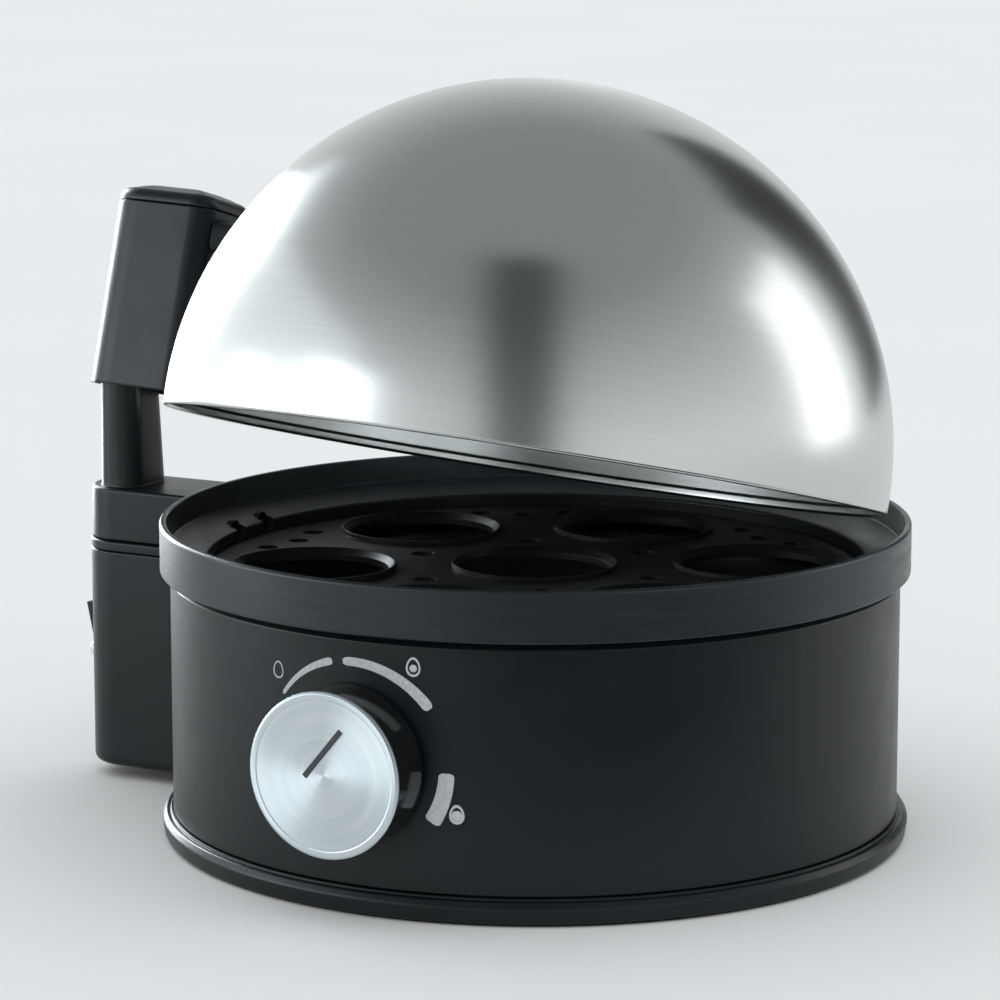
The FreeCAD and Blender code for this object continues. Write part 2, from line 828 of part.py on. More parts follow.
def egg_plate():
    """Perforated plate with seven egg seats, each a ring with a raised lip, and steam slots."""
    low, top = D.plate_low, D.plate_low + D.plate_sheet
    plate = spun("plate_disc", [(0, low), (73.8, low), (73.8, top), (0, top)])
    seats = [(0.0, 0.0)] + [around(D.seat_circle, 60 * k + 30) for k in range(6)]
    lips, holes = [], []
    for number, (x, y) in enumerate(seats):
        lips.append(rod(f"plate_lip_{number}", D.seat_radius + 1.8, 2.4, x, y, top - 1.4))
        holes.append(rod(f"plate_seat_{number}", D.seat_radius, 6.0, x, y, low - 1.0))
        slope = doc.addObject("Part::Cone", f"plate_slope_{number}")
        bind(slope, "Radius1", D.seat_radius - 0.6)
        bind(slope, "Radius2", D.seat_radius + 1.9)
        bind(slope, "Height", 2.5)
        place(slope, x, y, top - 0.9)
        holes.append(slope)
    for number in range(6):
        angle = 60 * number
        for side, radius in ((0, 62.0), (-9, 65.0), (9, 65.0)):
            x, y = around(radius, angle + side)
            holes.append(rod(f"plate_hole_{number}_{side + 9}", 2.4, 6.0, x, y, low - 1.0))
        x, y = around(29.0, angle)
        holes.append(rod(f"plate_inner_hole_{number}", 2.6, 6.0, x, y, low - 1.0))
    node("egg_plate", minus("plate", joined("plate_solid", [plate] + lips), holes))


def tray_handle_parts():
    """Side handle of the tray: a block level with the collar and a post that the lid covers.

    The post narrows upwards at the back only, which is the side that the lid's grip swings over.
    """
    half, low, top = D.handle_half, D.block_low, D.block_top
    inner = D.collar_radius - 1.0
    block_body = raised(
        "tray_block", "XY_Plane", handle_outline(inner, D.column_reach - 0.5, half - 0.3), top - low, low
    )
    rounded(block_body, "tray_block_corners", D.handle_round - 0.4, upright_beyond(100))
    rounded(block_body, "tray_block_edge", 0.6, level_at(top.value, 85.5))
    post = drawn_up(
        "tray_post",
        handle_outline(D.grip_reach - 12.6, D.grip_reach - 1.7, half - 2.0, half - 3.4),
        top - 0.1,
        handle_outline(D.grip_reach - 12.3, D.grip_reach - 1.8, half - 2.1, half - 5.2),
        D.post_top,
    )
    post = softened("tray_post_corners", post, 4.6, taller_than(20))
    post = softened("tray_post_end", post, 1.2, level_at(D.post_top.value, 90))
    solid = joined("tray_handle_solid", [block_body, post])
    cavity = block(
        "tray_handle_cavity", (-110.2, -103.8), (-half + 7.6, half - 7.6), (low - 1.0, D.post_top - 4.0)
    )
    collar_space = rod("tray_handle_collar_space", D.collar_radius + 0.05, 30.0, 0, 0, low - 5.0)
    holes = [
        rod(f"tray_handle_hole_{n}", 1.2, 12.0, -80.0, y, TRAY_SCREW_HEIGHT, -X_AXIS)
        for n, y in enumerate(TRAY_SCREW_SIDES)
    ]
    node("tray_handle", minus("tray_handle_cut", solid, [cavity, collar_space] + holes))
    plug = block("tray_plug", (-110.0, -104.0), (-half + 7.8, half - 7.8), (low, low + 2.4))
    node("tray_handle_plug", plug)


# ---------------------------------------------------------------- lid

BRACKET_SCREW_HEIGHT = 108.0
BRACKET_SCREW_SIDES = (-4.5, 4.5)


def lid_dome():
    """Steel bowl turned over: a short straight skirt and a half sphere, with a thicker hem."""
    radius, sheet, seat = D.lid_radius, D.lid_sheet, D.lid_seat
    centre = seat + D.lid_skirt
    body = doc.addObject("PartDesign::Body", "dome_body")
    sketch = body.newObject("Sketcher::SketchObject", "dome_outline")
    support = [item for item in body.Origin.OriginFeatures if item.Role == "XZ_Plane"][0]
    sketch.AttachmentSupport = (support, "")
    sketch.MapMode = "FlatFace"
    hem = 2.2
    inside = radius - sheet
    levels = {
        "rim_out": (radius, seat),
        "shoulder_out": (radius, centre),
        "top_out": (as_length(0), centre + radius),
        "top_in": (as_length(0), centre + inside),
        "shoulder_in": (inside, centre),
        "hem_in": (inside, seat + hem),
        "hem_out": (inside - 0.7, seat + hem - 0.7),
        "rim_in": (inside - 0.7, seat),
    }
    points = {name: FreeCAD.Vector(x.value, y.value, 0) for name, (x, y) in levels.items()}
    middle = FreeCAD.Vector(0, centre.value, 0)
    normal = FreeCAD.Vector(0, 0, 1)
    order = list(levels)
    for start, end in zip(order, order[1:] + order[:1]):
        if (start, end) == ("shoulder_out", "top_out"):
            circle = Part.Circle(middle, normal, radius.value)
            sketch.addGeometry(Part.ArcOfCircle(circle, 0, math.pi / 2))
        elif (start, end) == ("top_in", "shoulder_in"):
            circle = Part.Circle(middle, normal, inside.value)
            sketch.addGeometry(Part.ArcOfCircle(circle, 0, math.pi / 2))
        else:
            sketch.addGeometry(Part.LineSegment(points[start], points[end]))
    ends = [(1, 2)] * len(order)
    ends[3] = (2, 1)
    for index in range(len(order)):
        following = (index + 1) % len(order)
        sketch.addConstraint(
            Sketcher.Constraint("Coincident", index, ends[index][1], following, ends[following][0])
        )
    for index, (x, y) in enumerate(levels.values()):
        for kind, size in (("DistanceX", x), ("DistanceY", y)):
            rule = Sketcher.Constraint(kind, -1, 1, index, ends[index][0], size.value)
            number = sketch.addConstraint(rule)
            sketch.setExpression(f"Constraints[{number}]", size.formula)
    for index, size in ((1, radius), (3, inside)):
        number = sketch.addConstraint(Sketcher.Constraint("Radius", index, size.value))
        sketch.setExpression(f"Constraints[{number}]", size.formula)
    turn = body.newObject("PartDesign::Revolution", "dome_turn")
    turn.Profile = sketch
    turn.ReferenceAxis = (sketch, ["V_Axis"])
    turn.Angle = 360
    holes = [
        rod(f"dome_hole_{n}", 1.7, 20.0, -66.0, y, BRACKET_SCREW_HEIGHT, -X_AXIS)
        for n, y in enumerate(BRACKET_SCREW_SIDES)
    ]
    for number in range(3):
        tilt = FreeCAD.Vector(0, math.sin(math.radians(30)), math.cos(math.radians(30)))
        x = 9.0 * (number - 1)
        start = tilt * 70.0
        vent = rod(f"dome_vent_{number}", 1.6, 20.0, x, start.y, centre + start.z, tilt)
        holes.append(vent)
    lid_node("lid_dome", minus("dome", body, holes))


def lid_handle_parts():
    """Hollow grip that drops over the tray's post, its end cap, and its bracket to the dome."""
    half, low, top = D.handle_half, D.grip_low, D.grip_top
    grip = raised(
        "grip_block", "XY_Plane", handle_outline(D.grip_inner, D.grip_reach, half), top - low, low
    )
    rounded(grip, "grip_outer_corners", D.handle_round - 0.5, upright_beyond(100))
    rounded(grip, "grip_inner_corners", 5.0, upright_beyond(80))
    cavity = raised(
        "grip_cavity",
        "XY_Plane",
        handle_outline(D.grip_inner + 3.0, D.grip_reach - 1.3, half - 1.6),
        top - low - 12.0,
        low - 1.0,
    )
    rounded(cavity, "grip_cavity_corners", 5.0, upright_beyond(100))
    screw_holes = [
        rod(f"grip_hole_{n}", 1.2, 8.0, -84.0, y, BRACKET_SCREW_HEIGHT, -X_AXIS)
        for n, y in enumerate(BRACKET_SCREW_SIDES)
    ]
    lid_node("lid_handle", minus("grip", grip, [cavity] + screw_holes))
    cap = raised(
        "grip_cap_block",
        "XY_Plane",
        handle_outline(D.grip_inner, D.grip_reach, half),
        4.6,
        top + 0.15,
    )
    rounded(cap, "grip_cap_outer_corners", D.handle_round - 0.5, upright_beyond(100))
    rounded(cap, "grip_cap_inner_corners", 5.0, upright_beyond(80))
    rounded(cap, "grip_cap_edge", 3.6, level_at(top.value + 4.75, 80))
    lid_node("lid_handle_cap", cap)
    arm_low, arm_top = BRACKET_SCREW_HEIGHT - 4.4, BRACKET_SCREW_HEIGHT + 4.4
    arm = raised(
        "bracket_arm",
        "YZ_Plane",
        [(-7.6, arm_low), (7.6, arm_low), (7.6, arm_top), (-7.6, arm_top)],
        D.grip_inner - 66.1,
        -D.grip_inner + 0.1,
    )
    rounded(arm, "bracket_arm_edges", 2.6, lengthwise)
    sphere = doc.addObject("Part::Sphere", "bracket_dome_space")
    bind(sphere, "Radius", D.lid_radius + 0.05)
    place(sphere, 0, 0, D.lid_seat + D.lid_skirt)
    bores = [
        rod(f"bracket_bore_{n}", 1.7, 40.0, -60.0, y, BRACKET_SCREW_HEIGHT, -X_AXIS)
        for n, y in enumerate(BRACKET_SCREW_SIDES)
    ]
    lid_node("lid_bracket", minus("bracket", arm, [sphere] + bores))
    screws = []
    for number, y in enumerate(BRACKET_SCREW_SIDES):
        name = f"lid_screw_{number}"
        screws.append(screw(name, 2.6, 1.6, 1.15, 21.0, -67.9, y, BRACKET_SCREW_HEIGHT, -X_AXIS))
    LID_NODES.append(grouped("lid_screws", screws))


def tip_lid():
    """Tip the closed lid up about its rear edge, towards the handle's side of the front."""
    heading = math.radians(D.tip_heading.value)
    rear = FreeCAD.Vector(math.sin(heading), math.cos(heading), 0)
    axis = FreeCAD.Vector(-rear.y, rear.x, 0)
    pivot = rear * D.tip_back.value + Z_AXIS * D.tip_up.value
    turn = FreeCAD.Rotation(axis, D.tip_angle.value)
    for item in LID_NODES:
        item.Placement = FreeCAD.Placement(FreeCAD.Vector(), turn, pivot)


# ---------------------------------------------------------------- build, check and write


def build():
    base_housing()
    foot_parts()
    bottom_cover()
    heating_parts()
    heat_shield()
    control_parts()
    supply_parts()
    column_parts()
    switch_parts()
    knob_parts()
    tray_collar()
    egg_plate()
    tray_handle_parts()
    lid_dome()
    lid_handle_parts()
    tip_lid()
    doc.recompute()


def check():
    for item in doc.Objects:
        if "Invalid" in item.State or "Error" in item.State:
            raise RuntimeError(f"{item.Name} failed: {item.State}")
    for item in NODES:
        shape = item.Shape
        if shape.isNull() or not shape.isValid() or not shape.Solids:
            raise RuntimeError(f"{item.Label} has no valid solid")


def write():
    os.makedirs("parts", exist_ok=True)
    for item in NODES:
        item.Shape.exportStep(f"parts/{item.Label}.step")
        solids = len(item.Shape.Solids)
        print(f"{item.Label}: {solids} solid(s), {item.Shape.Volume / 1000:.2f} cm3")


build()
check()
write()
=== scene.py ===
"""Egg cooker: smooth shells, handles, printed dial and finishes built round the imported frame."""

import json
import math

import bmesh
import bpy
from mathutils import Matrix, Vector


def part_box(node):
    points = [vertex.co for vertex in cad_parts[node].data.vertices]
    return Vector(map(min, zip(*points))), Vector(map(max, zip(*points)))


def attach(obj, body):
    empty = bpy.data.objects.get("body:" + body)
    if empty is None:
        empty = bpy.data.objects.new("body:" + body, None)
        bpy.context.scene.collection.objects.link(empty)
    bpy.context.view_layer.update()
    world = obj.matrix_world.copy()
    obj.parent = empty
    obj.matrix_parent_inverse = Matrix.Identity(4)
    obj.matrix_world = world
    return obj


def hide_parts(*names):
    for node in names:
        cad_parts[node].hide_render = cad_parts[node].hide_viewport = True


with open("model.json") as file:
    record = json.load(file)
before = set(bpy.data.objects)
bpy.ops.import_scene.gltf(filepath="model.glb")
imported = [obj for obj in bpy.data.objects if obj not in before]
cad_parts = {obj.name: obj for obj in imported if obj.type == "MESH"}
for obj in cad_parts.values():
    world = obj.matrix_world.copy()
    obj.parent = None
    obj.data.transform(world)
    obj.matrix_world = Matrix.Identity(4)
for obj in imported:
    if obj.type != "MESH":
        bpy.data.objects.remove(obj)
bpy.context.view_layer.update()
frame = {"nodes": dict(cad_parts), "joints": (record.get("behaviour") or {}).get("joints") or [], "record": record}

MM = 0.001
TURN = 224  # segments round a full turn
CORNER_STEPS = 6  # segments in a rounded corner
HOLE_STEPS = 48  # segments round a drilled hole
ON_AXIS, WELD = 1e-6, 1e-7  # points this close to the axis, in mm, or to each other, in m, are one
NOISE_LOW, NOISE_HIGH = 0.3, 0.7  # the part of a noise texture's range that is put to use
MIX_COLOUR_A, MIX_COLOUR_B, MIX_COLOUR_OUT = 6, 7, 2  # sockets of a Mix node set to colour
BEVEL_SAMPLES = 4
RECORD = frame["record"]
NODES = frame["nodes"]


# ---------------------------------------------------------------- places taken from the frame


def box_mm(node):
    """Lowest and highest corner of a CAD node in millimetres."""
    low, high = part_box(node)
    return low / MM, high / MM


def lid_turn():
    """Turns a lid drawn closed and level to where it rests ajar, about its tipping joint."""
    joint = next(j for j in frame["joints"] if j["name"] == "lid_tip")
    pivot = Vector(joint["pos_m"])
    angle = -math.radians(joint["range_deg"][0])
    turn = Matrix.Rotation(angle, 4, Vector(joint["axis"]))
    return Matrix.Translation(pivot) @ turn @ Matrix.Translation(-pivot)


LID = lid_turn()


def closed_box_mm(node):
    """Lowest and highest corner of a lid node when the lid is closed, in millimetres."""
    back = LID.inverted()
    points = [back @ v.co / MM for v in NODES[node].data.vertices]
    low = Vector([min(p[i] for p in points) for i in range(3)])
    high = Vector([max(p[i] for p in points) for i in range(3)])
    return low, high


HOUSING_LOW, HOUSING_HIGH = box_mm("base_housing")
FOOT_LOW, FOOT_HIGH = box_mm("foot_ring")
COLLAR_LOW, COLLAR_HIGH = box_mm("tray_collar")
COLUMN_LOW, COLUMN_HIGH = box_mm("column_shell")
CAP_LOW, CAP_HIGH = box_mm("column_cap")
HANDLE_LOW, HANDLE_HIGH = box_mm("tray_handle")
DOME_LOW, DOME_HIGH = closed_box_mm("lid_dome")
GRIP_LOW, GRIP_HIGH = closed_box_mm("lid_handle")
GRIP_CAP_LOW, GRIP_CAP_HIGH = closed_box_mm("lid_handle_cap")
ARM_LOW, ARM_HIGH = closed_box_mm("lid_bracket")
KNOB_LOW, KNOB_HIGH = box_mm("knob_body")
FACE_LOW, FACE_HIGH = box_mm("knob_face")

BODY_RADIUS = HOUSING_HIGH.x
KNOB_UP = (FACE_LOW.z + FACE_HIGH.z) / 2
KNOB_FRAME = Matrix.Translation((0, 0, KNOB_UP * MM)) @ Matrix.Rotation(math.pi / 2, 4, "X")


# ---------------------------------------------------------------- mesh helpers


def arc(centre, radius, start, end, steps):
    """Points of an arc in the outline's plane, angles in degrees."""
    angles = [math.radians(start + (end - start) * i / steps) for i in range(steps + 1)]
    return [(centre[0] + radius * math.cos(a), centre[1] + radius * math.sin(a)) for a in angles]


def rounded(corners, steps=CORNER_STEPS):
    """Outline through (x, y, radius) corners, each rounded by an arc of that radius."""
    points = []
    for index, (x, y, radius) in enumerate(corners):
        corner = Vector((x, y))
        if radius <= 0:
            points.append(corner)
            continue
        before = (Vector(corners[index - 1][:2]) - corner).normalized()
        after = (Vector(corners[(index + 1) % len(corners)][:2]) - corner).normalized()
        half = before.angle(after) / 2
        centre = corner + (before + after).normalized() * (radius / math.sin(half))
        start = corner + before * (radius / math.tan(half)) - centre
        end = corner + after * (radius / math.tan(half)) - centre
        first = math.atan2(start.y, start.x)
        sweep = (math.atan2(end.y, end.x) - first + math.pi) % math.tau - math.pi
        for step in range(steps + 1):
            angle = first + sweep * step / steps
            points.append(centre + Vector((math.cos(angle), math.sin(angle))) * radius)
    return points


def lathe(outline, steps=TURN):
    """Closed mesh turned about +Z from a closed outline of (radius, height) points in mm."""
    bm = bmesh.new()
    rings = []
    for step in range(steps):
        angle = math.tau * step / steps
        c, s = math.cos(angle) * MM, math.sin(angle) * MM
        rings.append([bm.verts.new((x * c, x * s, z * MM)) for x, z in outline])
    for step in range(steps):
        here, there = rings[step], rings[(step + 1) % steps]
        for index in range(len(outline)):
            following = (index + 1) % len(outline)
            if abs(outline[index][0]) + abs(outline[following][0]) > ON_AXIS:
                bm.faces.new((here[index], there[index], there[following], here[following]))
    bmesh.ops.remove_doubles(bm, verts=bm.verts, dist=WELD)
    return bm


def loft(levels):
    """Closed mesh through loops of (x, y) points at rising or falling heights, all in mm."""
    bm = bmesh.new()
    loops = [[bm.verts.new((x * MM, y * MM, z * MM)) for x, y in points] for z, points in levels]
    for lower, upper in zip(loops, loops[1:]):
        for index in range(len(lower)):
            following = (index + 1) % len(lower)
            bm.faces.new((lower[index], lower[following], upper[following], upper[index]))
    bm.faces.new(reversed(loops[0]))
    bm.faces.new(loops[-1])
    return bm


def cutters(solids):
    """One mesh of (kind, size, place, axis) solids, in mm, to cut holes with."""
    bm = bmesh.new()
    for kind, size, place, axis in solids:
        turn = Vector(axis).to_track_quat("Z", "Y").to_matrix().to_4x4()
        matrix = Matrix.Translation(Vector(place) * MM) @ turn
        if kind == "rod":
            radius, length = size
            bmesh.ops.create_cone(
                bm, cap_ends=True, segments=HOLE_STEPS, radius1=radius * MM,
                radius2=radius * MM, depth=length * MM, matrix=matrix,
            )
        else:
            scale = Matrix.Diagonal((size[0] * MM, size[1] * MM, size[2] * MM, 1))
            bmesh.ops.create_cube(bm, size=1, matrix=matrix @ scale)
    return bm


def cut(bm, solids):
    """The mesh less the solids."""
    meshes = []
    for source in (bm, cutters(solids)):
        bmesh.ops.recalc_face_normals(source, faces=source.faces)
        mesh = bpy.data.meshes.new("cutting")
        source.to_mesh(mesh)
        source.free()
        meshes.append(mesh)
    objects = [bpy.data.objects.new("cutting", mesh) for mesh in meshes]
    for item in objects:
        bpy.context.scene.collection.objects.link(item)
    modifier = objects[0].modifiers.new("holes", "BOOLEAN")
    modifier.operation = "DIFFERENCE"
    modifier.solver = "EXACT"
    modifier.object = objects[1]
    depsgraph = bpy.context.evaluated_depsgraph_get()
    result = bmesh.new()
    result.from_mesh(objects[0].evaluated_get(depsgraph).to_mesh())
    for item in objects:
        bpy.data.objects.remove(item)
    for mesh in meshes:
        bpy.data.meshes.remove(mesh)
    return result


def piece(name, bm, body, slot, replaces=(), matrix=Matrix(), material=None, sharp=38):
    """A new visible piece: smooth-shaded, riding on its body, in its finish."""
    bmesh.ops.recalc_face_normals(bm, faces=bm.faces)
    mesh = bpy.data.meshes.new(name)
    bm.to_mesh(mesh)
    bm.free()
    mesh.shade_smooth()
    mesh.set_sharp_from_angle(angle=math.radians(sharp))
    item = bpy.data.objects.new(name, mesh)
    bpy.context.scene.collection.objects.link(item)
    item.matrix_world = matrix
    weighted = item.modifiers.new("even_normals", "WEIGHTED_NORMAL")
    weighted.keep_sharp = True
    mesh.materials.append(material or MATERIALS[slot])
    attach(item, body)
    if replaces:
        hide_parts(*replaces)
    return item


# ---------------------------------------------------------------- material helpers


class Shader:
    """A principled material and short ways to drive it with procedural textures."""

    def __init__(self, name, colour, roughness, metallic=0.0):
        self.material = bpy.data.materials.new(name)
        self.material.use_nodes = True
        self.nodes = self.material.node_tree.nodes
        self.links = self.material.node_tree.links
        self.shader = self.nodes["Principled BSDF"]
        self.set("Base Color", (*colour, 1.0))
        self.set("Roughness", roughness)
        self.set("Metallic", metallic)
        self.place = self.nodes.new("ShaderNodeTexCoord").outputs["Object"]

    def set(self, socket, value):
        self.shader.inputs[socket].default_value = value

    def join(self, output, socket):
        self.links.new(output, socket)

    def maths(self, operation, first, second=None):
        node = self.nodes.new("ShaderNodeMath")
        node.operation = operation
        for index, value in enumerate((first, second)):
            if value is None:
                continue
            if isinstance(value, (int, float)):
                node.inputs[index].default_value = value
            else:
                self.join(value, node.inputs[index])
        return node.outputs[0]

    def stretched(self, scale, source=None):
        """Coordinates scaled by a factor along each axis, in cycles per metre."""
        node = self.nodes.new("ShaderNodeVectorMath")
        node.operation = "MULTIPLY"
        self.join(source or self.place, node.inputs[0])
        node.inputs[1].default_value = scale
        return node.outputs[0]

    def split(self):
        """The three coordinates of the place."""
        node = self.nodes.new("ShaderNodeSeparateXYZ")
        self.join(self.place, node.inputs[0])
        return node.outputs

    def off_axis(self, x, y):
        """Distance from the piece's own axis."""
        squares = [self.maths("MULTIPLY", value, value) for value in (x, y)]
        return self.maths("SQRT", self.maths("ADD", *squares))

    def merged(self, values, scales):
        """One vector from three values, each multiplied by its own scale."""
        node = self.nodes.new("ShaderNodeCombineXYZ")
        for socket, value, scale in zip(node.inputs, values, scales):
            self.join(self.maths("MULTIPLY", value, scale), socket)
        return node.outputs[0]

    def spun_lines(self, centre_up, along, across):
        """Coordinates whose fast direction runs up the meridians of a turned dome."""
        x, y, z = self.split()
        rise = self.maths("SUBTRACT", z, centre_up)
        latitude = self.maths("ARCTAN2", rise, self.off_axis(x, y))
        return self.merged((x, y, latitude), (along, along, across))

    def ring_lines(self, along, across):
        """Coordinates whose fast direction runs outward over a turned disc."""
        x, y = self.split()[:2]
        return self.merged((x, y, self.off_axis(x, y)), (along, along, across))

    def noise(self, vector, detail=2.0, rough=0.5):
        node = self.nodes.new("ShaderNodeTexNoise")
        self.join(vector, node.inputs["Vector"])
        node.inputs["Scale"].default_value = 1.0
        node.inputs["Detail"].default_value = detail
        node.inputs["Roughness"].default_value = rough
        return node.outputs["Fac"]

    def ranged(self, factor, low, high):
        node = self.nodes.new("ShaderNodeMapRange")
        self.join(factor, node.inputs["Value"])
        node.inputs["From Min"].default_value = NOISE_LOW
        node.inputs["From Max"].default_value = NOISE_HIGH
        node.inputs["To Min"].default_value = low
        node.inputs["To Max"].default_value = high
        return node.outputs[0]

    def tones(self, factor, dark, light):
        """Base colour that wanders between two tones."""
        node = self.nodes.new("ShaderNodeMix")
        node.data_type = "RGBA"
        self.join(self.ranged(factor, 0.0, 1.0), node.inputs[0])
        node.inputs[MIX_COLOUR_A].default_value = (*dark, 1.0)
        node.inputs[MIX_COLOUR_B].default_value = (*light, 1.0)
        self.join(node.outputs[MIX_COLOUR_OUT], self.shader.inputs["Base Color"])

    def roughness(self, factor, low, high):
        self.join(self.ranged(factor, low, high), self.shader.inputs["Roughness"])

    def bump(self, height, depth_mm, strength=1.0, below=None):
        node = self.nodes.new("ShaderNodeBump")
        node.inputs["Distance"].default_value = depth_mm * MM
        node.inputs["Strength"].default_value = strength
        self.join(height, node.inputs["Height"])
        if below is not None:
            self.join(below, node.inputs["Normal"])
        self.join(node.outputs[0], self.shader.inputs["Normal"])
        return node.outputs[0]

    def soft_edges(self, radius_mm):
        """Normals that round the sharp edges of a CAD part."""
        node = self.nodes.new("ShaderNodeBevel")
        node.samples = BEVEL_SAMPLES
        node.inputs["Radius"].default_value = radius_mm * MM
        self.join(node.outputs[0], self.shader.inputs["Normal"])
        return node.outputs[0]

    def brushed(self, amount):
        """Anisotropic gloss that follows rings about the piece's own axis."""
        self.set("Anisotropic", amount)
        node = self.nodes.new("ShaderNodeTangent")
        node.direction_type = "RADIAL"
        node.axis = "Z"
        self.join(node.outputs[0], self.shader.inputs["Tangent"])


def even(value):
    """The same scale along all three axes."""
    return (value, value, value)


# ---------------------------------------------------------------- finishes


# In these, texture scales are in cycles per metre and bump depths in mm.


def moulded(name, dark, light, low, high, edges=0.0):
    """Moulded plastic: fine spark-eroded grain, slow tone shifts and handling gloss.

    The roughness wanders from low to high, and CAD edges are softened by a radius in mm."""
    m = Shader(name, dark, low)
    m.tones(m.noise(m.stretched(even(38)), 3), dark, light)
    m.roughness(m.noise(m.stretched(even(90)), 4), low, high)
    below = m.soft_edges(edges) if edges else None
    grain = m.noise(m.stretched(even(2900)), 1.5)
    ripple = m.noise(m.stretched(even(70)), 2)
    below = m.bump(grain, 0.030, 0.35, below)
    m.bump(ripple, 0.05, 0.25, below)
    m.set("Specular IOR Level", 0.30)
    return m.material


def anthracite():
    dark, light = (0.0035, 0.006, 0.0075), (0.005, 0.0085, 0.0105)
    return moulded("anthracite_moulding", dark, light, 0.34, 0.42)


def collar_plastic():
    """The collar's moulding, with fine turned lines round it."""
    m = Shader("collar_moulding", (0.010, 0.015, 0.018), 0.34)
    m.tones(m.noise(m.stretched((60, 60, 900)), 3), (0.008, 0.013, 0.016), (0.012, 0.018, 0.022))
    m.set("Specular IOR Level", 0.4)
    m.roughness(m.noise(m.stretched((90, 90, 700)), 3), 0.30, 0.40)
    below = m.bump(m.noise(m.stretched((70, 70, 3600)), 2), 0.03, 0.5)
    m.bump(m.noise(m.stretched(even(2900)), 1.5), 0.02, 0.25, below)
    return m.material


def black():
    return moulded("black_moulding", (0.008, 0.009, 0.010), (0.012, 0.013, 0.014), 0.42, 0.52, 0.25)


def glossy_black():
    """The knob's polished skirt."""
    m = Shader("polished_black", (0.006, 0.007, 0.008), 0.12)
    m.tones(m.noise(m.stretched(even(60)), 2), (0.005, 0.006, 0.007), (0.009, 0.010, 0.011))
    m.roughness(m.noise(m.stretched(even(160)), 4), 0.09, 0.17)
    m.bump(m.noise(m.stretched(even(150)), 2), 0.02, 0.2)
    return m.material


def rubber():
    return moulded("soft_rubber", (0.010, 0.010, 0.010), (0.016, 0.016, 0.016), 0.70, 0.82, 0.3)


def silicone():
    return moulded("pale_silicone", (0.48, 0.48, 0.46), (0.56, 0.56, 0.54), 0.50, 0.62, 0.2)


def white_plastic():
    return moulded("white_moulding", (0.72, 0.72, 0.69), (0.80, 0.80, 0.77), 0.40, 0.50, 0.2)


def ceramic():
    return moulded("glazed_ceramic", (0.58, 0.53, 0.44), (0.68, 0.63, 0.55), 0.32, 0.45, 0.2)


def board():
    """Green circuit board with its solder mask's slight gloss."""
    return moulded("solder_mask", (0.012, 0.085, 0.035), (0.02, 0.12, 0.05), 0.30, 0.40, 0.15)


def dish_coating():
    """Dark non-stick coating with a fine speckle."""
    m = Shader("dish_coating", (0.02, 0.02, 0.021), 0.4)
    m.tones(m.noise(m.stretched(even(1400)), 3, 0.7), (0.012, 0.012, 0.013), (0.045, 0.046, 0.048))
    m.roughness(m.noise(m.stretched(even(220)), 3), 0.30, 0.46)
    m.bump(m.noise(m.stretched(even(1100)), 3), 0.02, 0.35, m.soft_edges(0.3))
    return m.material


def zinc():
    """Zinc-plated steel with a faint blue and yellow bloom."""
    m = Shader("zinc_plate", (0.6, 0.61, 0.62), 0.3, 1.0)
    m.tones(m.noise(m.stretched(even(240)), 3), (0.52, 0.54, 0.57), (0.66, 0.65, 0.60))
    m.roughness(m.noise(m.stretched(even(500)), 3), 0.24, 0.40)
    m.bump(m.noise(m.stretched(even(1500)), 2), 0.01, 0.3, m.soft_edges(0.15))
    return m.material


def black_zinc():
    """Black-passivated zinc plate."""
    m = Shader("black_zinc", (0.05, 0.05, 0.055), 0.4, 1.0)
    m.tones(m.noise(m.stretched(even(240)), 3), (0.035, 0.036, 0.04), (0.06, 0.06, 0.065))
    m.roughness(m.noise(m.stretched(even(500)), 3), 0.34, 0.48)
    m.bump(m.noise(m.stretched(even(1500)), 2), 0.01, 0.3, m.soft_edges(0.15))
    return m.material


def rolled_aluminium():
    m = Shader("rolled_aluminium", (0.75, 0.76, 0.77), 0.35, 1.0)
    m.tones(m.noise(m.stretched((30, 900, 30)), 3), (0.68, 0.69, 0.70), (0.80, 0.81, 0.82))
    m.roughness(m.noise(m.stretched((40, 1200, 40)), 3), 0.28, 0.44)
    m.bump(m.noise(m.stretched((40, 2200, 40)), 2), 0.01, 0.4, m.soft_edges(0.2))
    return m.material


def heater_sheath():
    """Steel tube blued and browned by its own heat."""
    m = Shader("heater_sheath", (0.3, 0.28, 0.27), 0.42, 1.0)
    m.tones(m.noise(m.stretched(even(120)), 4), (0.20, 0.21, 0.25), (0.42, 0.34, 0.26))
    m.roughness(m.noise(m.stretched(even(700)), 3), 0.34, 0.52)
    m.bump(m.noise(m.stretched(even(1300)), 3), 0.02, 0.4)
    return m.material


def satin_steel():
    """Spun stainless steel, brushed in fine rings about the dome's axis."""
    centre_up = (DOME_HIGH.z - DOME_HIGH.x) * MM
    m = Shader("satin_steel", (0.66, 0.67, 0.665), 0.3, 1.0)
    fine = m.noise(m.spun_lines(centre_up, 14, 2600), 3, 0.6)
    broad = m.noise(m.spun_lines(centre_up, 9, 160), 3)
    m.tones(broad, (0.575, 0.59, 0.585), (0.60, 0.61, 0.605))
    m.roughness(fine, 0.21, 0.25)
    below = m.bump(fine, 0.003, 0.1)
    m.bump(broad, 0.004, 0.04, below)
    m.brushed(0.6)
    return m.material


def brushed_disc():
    """The knob's face: stainless steel turned in fine rings."""
    m = Shader("brushed_disc", (0.66, 0.72, 0.75), 0.3, 1.0)
    fine = m.noise(m.ring_lines(40, 5200), 3, 0.6)
    broad = m.noise(m.ring_lines(40, 700), 2)
    m.tones(broad, (0.60, 0.67, 0.71), (0.70, 0.76, 0.79))
    m.roughness(fine, 0.32, 0.42)
    m.bump(fine, 0.006, 0.3)
    m.brushed(0.85)
    return m.material


